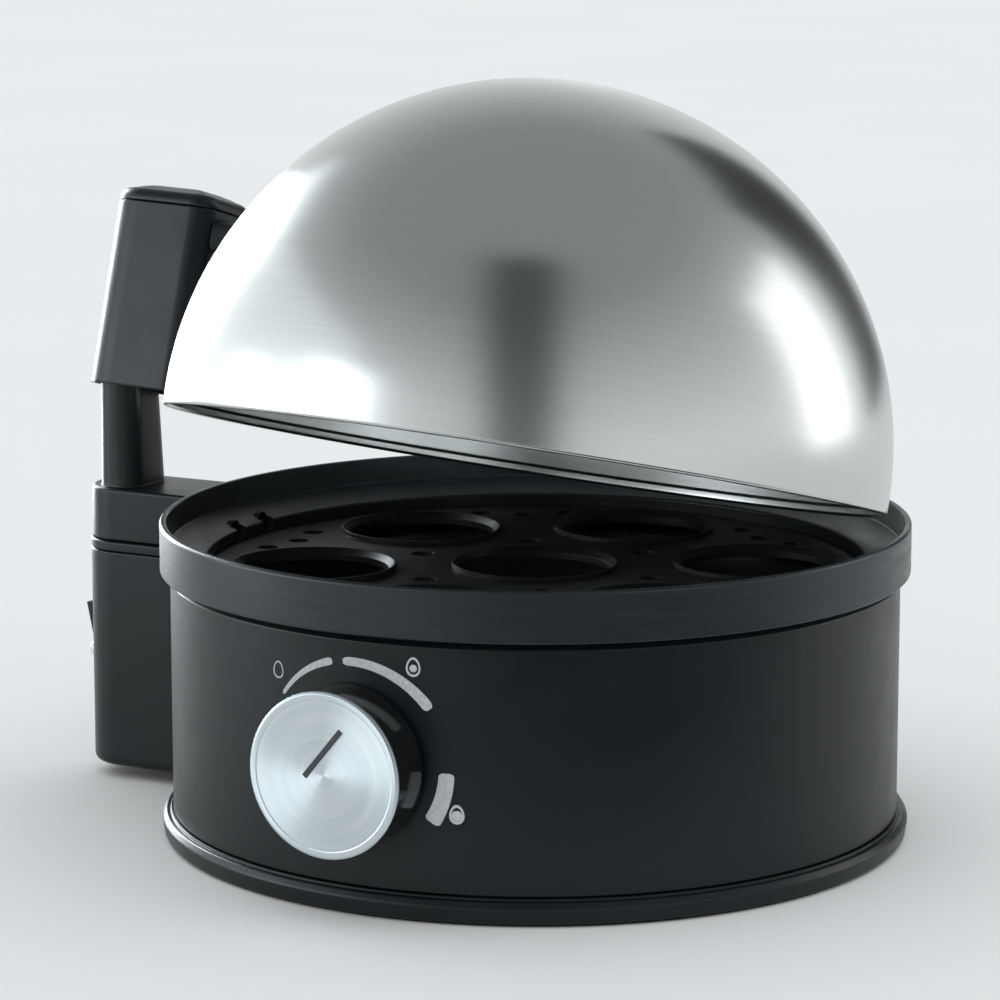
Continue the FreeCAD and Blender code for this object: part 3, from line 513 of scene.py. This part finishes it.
def dark_inlay():
    m = Shader("dark_inlay", (0.03, 0.035, 0.04), 0.5)
    m.tones(m.noise(m.stretched(even(900)), 2), (0.025, 0.03, 0.035), (0.045, 0.05, 0.055))
    m.bump(m.noise(m.stretched(even(1500)), 2), 0.01, 0.3)
    return m.material


def dial_ink():
    """Light grey printed marks, slightly uneven like screen print."""
    m = Shader("dial_ink", (0.55, 0.58, 0.60), 0.5)
    m.tones(m.noise(m.stretched(even(1300)), 3), (0.46, 0.49, 0.51), (0.60, 0.63, 0.65))
    m.roughness(m.noise(m.stretched(even(400)), 2), 0.45, 0.6)
    m.bump(m.noise(m.stretched(even(3000)), 2), 0.01, 0.3)
    return m.material


def lamp_lens():
    """Clear white switch lens, a little cloudy."""
    m = Shader("lamp_lens", (0.86, 0.88, 0.90), 0.15)
    m.tones(m.noise(m.stretched(even(500)), 2), (0.82, 0.85, 0.88), (0.90, 0.92, 0.94))
    m.roughness(m.noise(m.stretched(even(700)), 2), 0.10, 0.22)
    m.bump(m.noise(m.stretched(even(300)), 2), 0.02, 0.1)
    m.set("Subsurface Weight", 0.3)
    m.set("Subsurface Scale", 0.002)
    m.set("Coat Weight", 0.6)
    return m.material


def pale_floor():
    m = Shader("pale_floor", (0.88, 0.885, 0.89), 0.6)
    m.tones(m.noise(m.stretched(even(5)), 2), (0.875, 0.88, 0.885), (0.89, 0.895, 0.90))
    m.roughness(m.noise(m.stretched(even(30)), 2), 0.60, 0.70)
    m.set("Specular IOR Level", 0.0)
    return m.material


MATERIALS = {
    "anthracite_plastic": anthracite(),
    "black_plastic": black(),
    "rubber": rubber(),
    "silicone": silicone(),
    "zinc": zinc(),
    "dark_dish": dish_coating(),
    "element": heater_sheath(),
    "ceramic": ceramic(),
    "aluminium": rolled_aluminium(),
    "board": board(),
    "white_plastic": white_plastic(),
    "lamp_lens": lamp_lens(),
    "brushed_face": brushed_disc(),
    "dark_print": dark_inlay(),
    "brushed_lid": satin_steel(),
}


OWN_FINISH = {"tray_screws": black_zinc()}


def finish_cad_nodes():
    """Every carried-over CAD node takes its own finish or that of its slot."""
    for row in RECORD["subparts"]:
        node = NODES[row["node"]]
        node.data.materials.clear()
        node.data.materials.append(OWN_FINISH.get(row["node"]) or MATERIALS[row["material_slot"]])


# ---------------------------------------------------------------- base


def base_wall():
    """Outer wall with its soft rim, the shelf inside it and the holes for knob and cord."""
    outer, top, low = BODY_RADIUS, HOUSING_HIGH.z, HOUSING_LOW.z
    bore, inside, rim = outer - 4.4, outer - 2.4, 1.0
    shelf, shelf_edge, shelf_under, brace = top - 5.6, bore - 3.4, 2.0, 4.0
    outline = rounded([
        (outer, low, 0.3),
        (outer, top - rim, 0.5),
        (outer - rim, top, 0.4),
        (bore, top, 0.4),
        (bore, shelf, 0.3),
        (shelf_edge, shelf, 0.4),
        (shelf_edge, shelf - shelf_under, 0.3),
        (inside, shelf - brace, 0.4),
        (inside, low, 0.3),
    ])
    gland_low, gland_high = box_mm("cord_gland")
    gland_up = (gland_low.z + gland_high.z) / 2
    shaft_hole, gland_hole, through, out = 4.2, 5.2, 12, 80
    holes = [
        ("rod", (shaft_hole, through), (0, -out, KNOB_UP), (0, 1, 0)),
        ("rod", (gland_hole, through), (0, out, gland_up), (0, 1, 0)),
    ]
    piece("base_wall", cut(lathe(outline), holes), "base", "anthracite_plastic", ["base_housing"])


def foot_trim():
    """Flared trim ring with a rounded shoulder and a shadow step where the wall stands on it."""
    outer, low, top = FOOT_HIGH.x, FOOT_LOW.z, FOOT_HIGH.z
    shoulder, step, step_in = top - 1.9, top - 0.5, outer - 1.9
    inside, ledge, groove = outer - 5.4, low + 2.8, outer - 3.2
    outline = rounded([
        (outer - 0.5, low, 0.7),
        (outer, shoulder, 1.2),
        (outer - 0.9, step, 0.6),
        (step_in, step, 0.2),
        (step_in, top, 0.2),
        (inside, top, 0.3),
        (inside, ledge, 0.2),
        (groove, ledge, 0.2),
        (groove, low, 0.3),
    ])
    piece("foot_trim", lathe(outline), "base", "anthracite_plastic", ["foot_ring"])


# ---------------------------------------------------------------- handles


OUTER_STEPS = 12  # segments in each outer corner of a handle
INNER_STEPS = 14  # segments along its inner side, corners included
COLUMN_ROUND = 10.0  # rounding of the column's outer corners, in mm
GRIP_ROUND, GRIP_INNER_ROUND = 9.5, 5.0  # rounding of the lid grip's corners, in mm
HUG_WALL = BODY_RADIUS + 0.15  # the column follows the wall at this radius, in mm


def bar(inner, reach, half, outer_round, inner_round=0.0, hug=0.0):
    """Plan of a handle along -X. With hug, its inner side follows a cylinder of that radius."""
    corners = [
        (-reach, half, outer_round),
        (-reach, -half, outer_round),
        (-inner, -half, inner_round),
        (-inner, half, inner_round),
    ]
    loop = rounded(corners, OUTER_STEPS)[:2 * OUTER_STEPS + 2]
    if inner_round:
        steps = INNER_STEPS // 2 - 1
        ends = rounded(corners, steps)[-2 * steps - 2:]
        return loop + ends[:steps + 1] + [Vector((-inner, 0))] + ends[steps + 1:]
    for index in range(INNER_STEPS + 1):
        y = -half + 2 * half * index / INNER_STEPS
        x = -math.sqrt(hug * hug - y * y) if hug else -inner
        loop.append(Vector((x, y)))
    return loop


def quarter(radius, steps=CORNER_STEPS):
    """(rise, inset) pairs of an edge rounded by a quarter circle, from the face to the side."""
    turns = [math.pi / 2 * i / steps for i in range(steps + 1)]
    return [(radius * (1 - math.cos(a)), radius * (1 - math.sin(a))) for a in turns]


def column():
    """Lower handle: hollow, with a soft sole, open at the top, and the switch's window."""
    low, top, reach, half = COLUMN_LOW.z, COLUMN_HIGH.z, -COLUMN_LOW.x, COLUMN_HIGH.y
    wall, inner_round, sole = 2.2, 5.2, 2.4
    back_wall, mouth, top_edge, sole_edge = 2.8, 0.3, 0.5, 2.0
    step_up, hug_foot = FOOT_HIGH.z + 0.4, FOOT_HIGH.x + 0.3
    window_size = (12, 9.8, 18.6)

    def outside(inset, hug):
        return bar(0, reach - inset, half - inset, COLUMN_ROUND - inset, hug=hug)

    def inside(inset):
        gap = wall + inset
        return bar(0, reach - gap, half - gap, inner_round - inset, hug=HUG_WALL + back_wall)

    levels = [(low + sole, inside(0.0)), (top - mouth, inside(0.0)), (top, inside(-mouth))]
    levels += [(top - rise, outside(inset, HUG_WALL)) for rise, inset in quarter(top_edge)]
    levels += [(step_up, outside(0.0, HUG_WALL)), (step_up, outside(0.0, hug_foot))]
    sole_levels = reversed(quarter(sole_edge))
    levels += [(low + rise, outside(inset, hug_foot)) for rise, inset in sole_levels]
    window_low, window_high = box_mm("power_rocker")
    middle = (window_low.z + window_high.z) / 2
    shell = cut(loft(levels), [("box", window_size, (-reach, 0, middle), (0, 0, 1))])
    piece("side_column", shell, "base", "anthracite_plastic", ["column_shell"])


def column_top():
    """Thin lid of the column, seen as the layer between two seams."""
    thick, low_edge, top_edge = 2.2, 0.3, 0.5
    low, top, reach, half = CAP_HIGH.z - thick, CAP_HIGH.z, -CAP_LOW.x, CAP_HIGH.y

    def outside(inset):
        return bar(0, reach - inset, half - inset, COLUMN_ROUND - inset, hug=HUG_WALL)

    levels = [(low + rise, outside(inset)) for rise, inset in quarter(low_edge, 3)]
    levels += [(top - rise, outside(inset)) for rise, inset in reversed(quarter(top_edge))]
    piece("column_lid", loft(levels), "base", "anthracite_plastic", ["column_cap"])


def tray_grip():
    """Tray handle: a block level with the collar and the tapering post that the lid covers."""
    low, top, block_top = HANDLE_LOW.z, HANDLE_HIGH.z, 70.0
    reach, half, hug = -HANDLE_LOW.x, HANDLE_HIGH.y, COLLAR_HIGH.x + 0.05
    block_round, low_edge, block_edge = 9.6, 0.4, 0.8
    post_round, post_edge, post_wall = 4.6, 1.2, 4.0
    foot, foot_share, flare = 0.6, 0.02, 0.18  # small fillet where the post stands on the block
    front_in, front_taper = 1.7, 0.1  # the post's sides, in from the block's, and their taper
    back_in, back_taper = 3.1, 1.8
    near_in, near_taper = 14.9, 0.3
    far_in, far_taper = 4.0, 0.1
    cavity_near, cavity_far, cavity_half, cavity_round = 103.8, 110.2, 3.4, 0.6

    def outside(inset):
        return bar(0, reach - inset, half - inset, block_round - inset, hug=hug)

    def post(share, inset=0.0):
        """Plan of the post at a share of its height; its back leans in more than its front."""
        front, back = half - front_in - front_taper * share, half - back_in - back_taper * share
        middle = Vector((0, (back - front) / 2))
        near, far = reach - near_in + near_taper * share, reach - far_in - far_taper * share
        turn = post_round - inset
        loop = bar(near + inset, far - inset, (front + back) / 2 - inset, turn, turn)
        return [point + middle for point in loop]

    cavity = bar(cavity_near, cavity_far, cavity_half, cavity_round)
    levels = [(top - post_wall, cavity), (low, cavity)]
    levels += [(low + rise, outside(inset)) for rise, inset in quarter(low_edge, 3)]
    levels += [(block_top - rise, outside(inset)) for rise, inset in reversed(quarter(block_edge))]
    levels += [(block_top, post(0.0, -foot)), (block_top + flare, post(0.0, -flare))]
    levels += [(block_top + foot, post(foot_share))]
    levels += [(block_top + (top - block_top) * share, post(share)) for share in (0.25, 0.5, 0.75)]
    levels += [(top - rise, post(1.0, inset)) for rise, inset in reversed(quarter(post_edge))]
    piece("tray_grip", loft(levels), "tray", "anthracite_plastic", ["tray_handle"])


def lid_grip():
    """Hollow grip on the lid, open below, with a softened mouth."""
    low, top, reach = GRIP_LOW.z, GRIP_HIGH.z, -GRIP_LOW.x
    inner, half = -GRIP_HIGH.x, GRIP_HIGH.y
    near_wall, far_wall, side_wall, end_wall = 3.0, 1.3, 1.6, 13.0
    socket_round, socket_inner_round = 5.0, 1.5
    mouth, low_edge, top_edge = 0.4, 0.5, 0.35

    def outside(inset):
        outer_round, inner_round = GRIP_ROUND - inset, GRIP_INNER_ROUND - inset
        return bar(inner + inset, reach - inset, half - inset, outer_round, inner_round)

    def inside(inset):
        near, far = inner + near_wall + inset, reach - far_wall - inset
        return bar(near, far, half - side_wall - inset, socket_round, socket_inner_round)

    levels = [(top - end_wall, inside(0.0)), (low + mouth, inside(0.0)), (low, inside(-mouth))]
    levels += [(low + rise, outside(inset)) for rise, inset in quarter(low_edge)]
    levels += [(top - rise, outside(inset)) for rise, inset in reversed(quarter(top_edge, 3))]
    piece("lid_grip", loft(levels), "lid", "anthracite_plastic", ["lid_handle"], LID)


def lid_grip_crown():
    """Crowned end of the lid's grip."""
    low, top, reach = GRIP_CAP_LOW.z, GRIP_CAP_HIGH.z, -GRIP_CAP_LOW.x
    inner, half = -GRIP_CAP_HIGH.x, GRIP_CAP_HIGH.y
    crown, edge, low_edge, steps = 1.5, 2.4, 0.35, 10
    crown_inset, crown_power, least_round = 6.4, 1.6, 0.6

    def outside(inset):
        inner_round = max(GRIP_INNER_ROUND - inset, least_round)
        return bar(inner + inset, reach - inset, half - inset, GRIP_ROUND - inset, inner_round)

    levels = [(low + rise, outside(inset)) for rise, inset in quarter(low_edge, 3)]
    edge_levels = [(top - crown - rise, outside(inset)) for rise, inset in quarter(edge, steps)]
    levels += edge_levels[:1:-1]
    for step in range(1, steps + 1):
        share = step / steps
        level = top - crown * (1 - share) ** crown_power
        levels.append((level, outside(edge + crown_inset * share)))
    piece("lid_grip_crown", loft(levels), "lid", "anthracite_plastic", ["lid_handle_cap"], LID)


def lid_neck():
    """Short neck that holds the grip off the dome, waisted and flared where it meets both."""
    start, end = -ARM_LOW.x, -ARM_HIGH.x
    half = ARM_HIGH.y
    up = (ARM_LOW.z + ARM_HIGH.z) / 2
    tall = (ARM_HIGH.z - ARM_LOW.z) / 2
    centre_up = DOME_HIGH.z - DOME_HIGH.x
    stations, around_steps = 12, 48
    waisting, squareness, clearance = 0.16, 0.55, 0.02
    bm = bmesh.new()
    loops = []
    for station in range(stations + 1):
        share = station / stations
        waist = 1 - waisting * math.sin(math.pi * share)
        loop = []
        for step in range(around_steps):
            angle = math.tau * step / around_steps
            cosine, sine = math.cos(angle), math.sin(angle)
            y = half * waist * math.copysign(abs(cosine) ** squareness, cosine)
            z = up + tall * waist * math.copysign(abs(sine) ** squareness, sine)
            reach_in = math.sqrt(DOME_HIGH.x ** 2 - y * y - (z - centre_up) ** 2) + clearance
            x = -(start + (max(reach_in, end) - start) * share)
            loop.append(bm.verts.new((x * MM, y * MM, z * MM)))
        loops.append(loop)
    for near, far in zip(loops, loops[1:]):
        for index in range(around_steps):
            following = (index + 1) % around_steps
            bm.faces.new((near[index], near[following], far[following], far[index]))
    bm.faces.new(reversed(loops[0]))
    bm.faces.new(loops[-1])
    piece("lid_neck", bm, "lid", "anthracite_plastic", ["lid_bracket"], LID)


# ---------------------------------------------------------------- tray and lid


def collar():
    """Tray collar with soft edges, the sloped seat and the lip under the plate."""
    outer, top = COLLAR_HIGH.x, COLLAR_HIGH.z
    low, foot = top - 11.2, COLLAR_LOW.z
    seat, lip_top, spigot = top - 5.3, top - 13.4, BODY_RADIUS - 4.8
    throat, lip, lip_under, spigot_inside = 74.0, 71.6, lip_top - 1.5, spigot - 1.8
    outline = rounded([
        (outer, low, 0.5),
        (outer, top, 0.7),
        (outer - 1.5, top, 0.5),
        (outer - 2.1, seat - 0.4, 0.6),
        (throat, seat - 3.5, 0.6),
        (throat, lip_top, 0.2),
        (lip, lip_top, 0.3),
        (lip, lip_under, 0.3),
        (spigot_inside, lip_under, 0.3),
        (spigot_inside, foot, 0.4),
        (spigot, foot, 0.4),
        (spigot, low, 0.3),
    ])
    screws_low, screws_high = box_mm("tray_screws")
    up, head_radius = (screws_low.z + screws_high.z) / 2, 2.0
    side = screws_high.y - head_radius
    hole, recess, hole_at, recess_at = (1.5, 16), (2.2, 4), -80, -75
    holes = [("rod", hole, (hole_at, y, up), (1, 0, 0)) for y in (-side, side)]
    recesses = [("rod", recess, (recess_at, y, up), (1, 0, 0)) for y in (-side, side)]
    band = cut(cut(lathe(outline), holes), recesses)
    piece(
        "collar_band", band, "tray", "anthracite_plastic", ["tray_collar"],
        material=collar_plastic(),
    )


def dome():
    """Spun steel dome: sheet sides, rolled hem, steam vents at the back."""
    radius, rim = DOME_HIGH.x, DOME_LOW.z
    centre = DOME_HIGH.z - radius
    sheet, hem, hem_slope = 0.8, 2.2, 0.4
    profile_steps, lip_steps, turn_steps = 84, 14, 256
    screw_hole, screw_at, screw_side = (1.7, 24), -74, 4.5
    vent, vent_pitch, vent_lean = (1.6, 20), 9.0, math.radians(30)
    outside = arc((0, centre), radius, 0, 90, profile_steps)
    inside = arc((0, centre), radius - sheet, 90, 0, profile_steps)
    outside[-1] = (0.0, centre + radius)
    inside[0] = (0.0, centre + radius - sheet)
    bead = sheet * 0.95
    lip = arc((radius - bead, rim + bead), bead, -180, 0, lip_steps)
    outline = outside + inside
    outline += [(radius - sheet, rim + hem + hem_slope), (radius - 2 * bead, rim + hem - hem_slope)]
    outline += lip
    holes = []
    screw_low, screw_high = closed_box_mm("lid_screws")
    screw_up = (screw_low.z + screw_high.z) / 2
    for y in (-screw_side, screw_side):
        holes.append(("rod", screw_hole, (screw_at, y, screw_up), (1, 0, 0)))
    tilt = Vector((0, math.sin(vent_lean), math.cos(vent_lean)))
    for number in (-1, 0, 1):
        start = tilt * radius + Vector((vent_pitch * number, 0, centre))
        holes.append(("rod", vent, start, tilt))
    shell = cut(lathe(outline, turn_steps), holes)
    piece("steel_dome", shell, "lid", "brushed_lid", ["lid_dome"], LID, sharp=30)


# ---------------------------------------------------------------- knob and dial


def knob():
    """Timer knob: polished skirt, turned steel face with a bright edge, and the marker line."""
    radius = FACE_HIGH.x
    face = -FACE_LOW.y
    skirt_front, skirt_back = -KNOB_LOW.y, -KNOB_HIGH.y
    skirt, skirt_inside, web_back = radius - 0.6, radius - 3.0, skirt_front - 4.9
    boss, boss_back, bore, bore_end = 5.4, 84.9, 3.1, 89.0
    inlay = 0.12  # how far the turned face lies below its bright edge
    marker_wide, marker_flat, marker_edge = 1.2, 0.3, 0.12
    corner_spread = 0.9  # what the leaning marker's width adds to the diagonal of its box
    outline = rounded([
        (0, skirt_front, 0),
        (skirt, skirt_front, 0.5),
        (skirt, skirt_back, 0.5),
        (skirt_inside, skirt_back, 0.3),
        (skirt_inside, web_back, 0.5),
        (boss, web_back, 0.5),
        (boss, boss_back, 0.3),
        (bore, boss_back, 0.2),
        (bore, bore_end, 0.2),
        (0, bore_end, 0),
    ])
    piece(
        "knob_skirt", lathe(outline), "knob", "black_plastic", ["knob_body"], KNOB_FRAME,
        material=glossy_black(),
    )
    back = -FACE_HIGH.y
    disc = rounded([
        (0, back, 0),
        (radius, back, 0.2),
        (radius, face - 0.35, 0.15),
        (radius - 0.5, face, 0.2),
        (radius - 1.5, face, 0.12),
        (radius - 1.7, face - inlay, 0.1),
        (0, face - inlay, 0),
    ])
    marker_low, marker_high = box_mm("knob_marker")
    span = marker_high - marker_low
    length = math.hypot(span.x, span.z) - corner_spread
    lean = math.atan2(span.x, span.z)
    middle = (marker_low + marker_high) / 2
    turn = Matrix.Rotation(lean, 4, "Y")
    bm = cutters([("box", (marker_wide, marker_wide, length), (0, 0, 0), (0, 0, 1))])
    bmesh.ops.bevel(
        bm, geom=bm.edges[:], offset=marker_edge * MM, segments=3, affect="EDGES", profile=0.5,
    )
    bm.transform(Matrix.Diagonal((1, marker_flat, 1, 1)))
    place = Matrix.Translation((middle.x * MM, -(face - inlay) * MM, middle.z * MM))
    piece("marker_line", bm, "knob", "dark_print", ["knob_marker"], place @ turn)
    piece("knob_disc", lathe(disc), "knob", "brushed_face", ["knob_face"], KNOB_FRAME, sharp=25)


INK_LIFT, INK_DEPTH = 0.06, -0.25  # front and back of the printed marks off the wall, in mm
DIAL_STEPS = 40  # segments along each printed mark


def on_wall(across, up, lift):
    """Point on the base wall, lifted off it, from a place on the dial round the knob, in mm."""
    radius = BODY_RADIUS + lift
    return Vector((across, -math.sqrt(radius * radius - across * across), KNOB_UP + up)) * MM


def printed(bm, rows, closed_rows=False):
    """Adds a thin raised mark that follows the wall, from a grid of (across, up) places."""
    skins = []
    for lift in (INK_LIFT, INK_DEPTH):
        skins.append([[bm.verts.new(on_wall(a, u, lift)) for a, u in row] for row in rows])
    columns = len(rows[0])
    last = columns if closed_rows else columns - 1
    for front, skin in zip((True, False), skins):
        for one, two in zip(skin, skin[1:]):
            for i in range(last):
                j = (i + 1) % columns
                quad = (one[i], one[j], two[j], two[i])
                bm.faces.new(quad if front else tuple(reversed(quad)))
    for index in (0, -1):
        front, back = skins[0][index], skins[1][index]
        for i in range(last):
            j = (i + 1) % columns
            bm.faces.new((front[i], front[j], back[j], back[i]))
    if not closed_rows:
        for index in (0, -1):
            for k in range(len(rows) - 1):
                one, two = skins[0][k][index], skins[0][k + 1][index]
                bm.faces.new((one, two, skins[1][k + 1][index], skins[1][k][index]))


def dial_arc(bm, radius, start, end, width_start, width_end):
    """An arc about the knob that widens along its length; angles clockwise from the top."""
    end_steps, blunt = 2, 0.55
    rows = []
    for side in (-1, -0.5, 0, 0.5, 1):
        row = []
        for step in range(DIAL_STEPS + 1):
            share = step / DIAL_STEPS
            angle = math.radians(start + (end - start) * share)
            width = width_start + (width_end - width_start) * share
            from_end = min(share, 1 - share) * DIAL_STEPS / end_steps
            round_off = math.sqrt(max(0.0, 1 - (1 - min(from_end, 1.0)) ** 2))
            distance = radius + side * width / 2 * max(round_off, blunt)
            row.append((distance * math.sin(angle), distance * math.cos(angle)))
        rows.append(row)
    printed(bm, rows)


def egg_point(angle, size):
    """Point of an egg outline, blunt end down."""
    taper, slender = 1 - 0.16 * math.sin(angle), 0.74
    return size * slender * math.cos(angle) * taper, size * math.sin(angle)


def egg_mark(bm, across, up, size, line, yolk):
    """Small egg outline with a yolk disc of a given size."""
    yolk_drop, pinhole = 0.3, 0.02
    angles = [math.tau * i / DIAL_STEPS for i in range(DIAL_STEPS)]
    rings = []
    for radius in (size, size - line):
        ring = [egg_point(a, radius) for a in angles]
        rings.append([(across + x, up + z) for x, z in ring])
    printed(bm, rings, closed_rows=True)
    if yolk:
        rings = []
        yolk_up = up - yolk_drop
        for radius in (yolk, yolk * 0.5, pinhole):
            ring = [(radius * math.cos(a), radius * math.sin(a)) for a in angles]
            rings.append([(across + x, yolk_up + z) for x, z in ring])
        printed(bm, rings, closed_rows=True)


def dial():
    """Three arcs that widen with the cooking time and three small eggs beside them."""
    bm = bmesh.new()
    dial_arc(bm, 22.0, start=-55, end=-13, width_start=0.8, width_end=1.7)
    dial_arc(bm, 21.8, start=-6, end=53, width_start=1.8, width_end=2.4)
    dial_arc(bm, 20.9, start=91, end=122, width_start=3.2, width_end=3.6)
    egg_mark(bm, across=-19.4, up=17.6, size=1.9, line=0.35, yolk=0.0)
    egg_mark(bm, across=13.9, up=21.9, size=2.1, line=0.5, yolk=0.8)
    egg_mark(bm, across=23.0, up=-9.0, size=2.1, line=0.6, yolk=1.1)
    piece("dial_marks", bm, "base", "white_plastic", material=dial_ink())


# ---------------------------------------------------------------- stage


FLOOR_SIZE = 14  # side of the floor, in metres
FLOOR_DROP = 0.05  # how far the floor lies under the rubber ring, in mm
AIM = (0, 0, 0.08)  # where the lights point, in metres
CARD_AIM = (0, 0, 0.1)  # where the dark cards point, in metres
COOL, WHITE = (0.90, 0.97, 1.0), (1, 1, 1)
FILL_STRENGTH, FILL_SPREAD = 1.4, 110  # W/m2 and degrees across
HORIZON, HORIZON_AT = (0.92, 0.95, 0.96, 1), 0.12
OVERHEAD, OVERHEAD_AT = (0.33, 0.35, 0.36, 1), 0.80
CARD_TONE, CARD_ROUGHNESS, CARD_LIFT = (0.02, 0.02, 0.022), 0.9, 0.002
SOFTBOXES = (  # name, azimuth, elevation, distance, width, height in metres, watts, colour
    ("key_left", -66, 15, 1.8, 2.0, 1.4, 4.6, COOL),
    ("strip_left", -113, 12, 1.8, 0.6, 1.3, 3.2, COOL),
    ("low_strip", -112, 8, 0.42, 0.14, 0.26, 2.0, COOL),
    ("low_key", -58, 5, 0.46, 0.22, 0.20, 0.5, COOL),
    ("front_left", -36, 14, 1.9, 0.7, 0.7, 4.5, COOL),
    ("back_right", 134, 12, 1.9, 0.8, 1.5, 5.5, WHITE),
)


def floor():
    bpy.ops.mesh.primitive_grid_add(x_subdivisions=8, y_subdivisions=8, size=FLOOR_SIZE)
    item = bpy.context.object
    item.name = "floor"
    item.location.z = -FLOOR_DROP * MM
    item.data.materials.append(pale_floor())


def look_at(item, target):
    item.rotation_euler = (Vector(target) - item.location).to_track_quat("-Z", "Y").to_euler()


def around(azimuth, elevation, distance, centre):
    """Place seen at an azimuth and elevation from a centre; azimuth 0 is in front, at -Y."""
    a, e = math.radians(azimuth), math.radians(elevation)
    way = Vector((math.sin(a) * math.cos(e), -math.cos(a) * math.cos(e), math.sin(e)))
    return Vector(centre) + way * distance


def softbox(name, azimuth, elevation, distance, width, height, power, colour):
    """Soft rectangular light that faces the cooker. It is only seen in reflections."""
    light = bpy.data.lights.new(name, "AREA")
    light.shape = "RECTANGLE"
    light.size, light.size_y = width, height
    light.energy = power
    light.color = colour
    item = bpy.data.objects.new(name, light)
    bpy.context.scene.collection.objects.link(item)
    item.location = around(azimuth, elevation, distance, AIM)
    item.visible_camera = False
    item.visible_diffuse = False
    look_at(item, AIM)


def ceiling_fill():
    """Wide soft light from overhead, which keeps the floor even and adds no reflection."""
    light = bpy.data.lights.new("ceiling_fill", "SUN")
    light.energy = FILL_STRENGTH
    light.angle = math.radians(FILL_SPREAD)
    item = bpy.data.objects.new("ceiling_fill", light)
    bpy.context.scene.collection.objects.link(item)
    item.visible_glossy = False


def sky(world):
    """Even pale surroundings that darken softly overhead."""
    world.use_nodes = True
    nodes, links = world.node_tree.nodes, world.node_tree.links
    place = nodes.new("ShaderNodeTexCoord")
    split = nodes.new("ShaderNodeSeparateXYZ")
    ramp = nodes.new("ShaderNodeValToRGB")
    links.new(place.outputs["Generated"], split.inputs[0])
    links.new(split.outputs[2], ramp.inputs[0])
    stops = ramp.color_ramp.elements
    stops[0].position, stops[0].color = HORIZON_AT, HORIZON
    stops[1].position, stops[1].color = OVERHEAD_AT, OVERHEAD
    background = nodes["Background"]
    links.new(ramp.outputs[0], background.inputs["Color"])
    background.inputs["Strength"].default_value = 1.0


def dark_card(name, width, height, place):
    """Dark card that the camera doesn't see, for the dome and the wall to reflect."""
    bpy.ops.mesh.primitive_grid_add(x_subdivisions=2, y_subdivisions=2, size=1)
    item = bpy.context.object
    item.name = name
    item.scale = (width, height, 1)
    item.location = place
    item.data.materials.append(Shader(name, CARD_TONE, CARD_ROUGHNESS).material)
    item.visible_camera = False
    item.visible_diffuse = False
    item.visible_shadow = False
    return item


def card(name, azimuth, elevation, distance, width, height):
    """Dark card that faces the cooker."""
    place = around(azimuth, elevation, distance, CARD_AIM)
    look_at(dark_card(name, width, height, place), CARD_AIM)


def floor_card(name, azimuth, distance, size):
    """Dark card that lies on the floor, for the base's wall to reflect."""
    item = dark_card(name, size, size, around(azimuth, 0, distance, (0, 0, CARD_LIFT)))
    item.rotation_euler = (0, 0, math.radians(azimuth))


def studio():
    world = bpy.data.worlds.new("studio")
    bpy.context.scene.world = world
    sky(world)
    for row in SOFTBOXES:
        softbox(*row)
    ceiling_fill()
    card("front_flag", azimuth=26, elevation=34, distance=1.3, width=0.5, height=1.7)
    card("back_flag", azimuth=170, elevation=16, distance=1.5, width=0.7, height=1.4)
    floor_card("floor_flag", azimuth=50, distance=0.42, size=0.5)


VIEW_AZIMUTH, VIEW_ELEVATION = 28.17, 10.55  # degrees
VIEW_DISTANCE = 0.93  # metres
VIEW_TARGET = (-0.0070, -0.0037, 0.0750)
LENS_MM, SENSOR_MM = 149, 36


def camera():
    data = bpy.data.cameras.new("camera")
    item = bpy.data.objects.new("camera", data)
    bpy.context.scene.collection.objects.link(item)
    data.lens = LENS_MM
    data.sensor_width = SENSOR_MM
    data.dof.use_dof = False
    item.location = around(VIEW_AZIMUTH, VIEW_ELEVATION, VIEW_DISTANCE, VIEW_TARGET)
    look_at(item, VIEW_TARGET)
    bpy.context.scene.camera = item


camera()
studio()
floor()
finish_cad_nodes()
base_wall()
foot_trim()
column()
column_top()
tray_grip()
collar()
dome()
lid_grip()
lid_grip_crown()
lid_neck()
knob()
dial()

view = bpy.context.scene.view_settings
view.view_transform = "Standard"
view.look = "None"
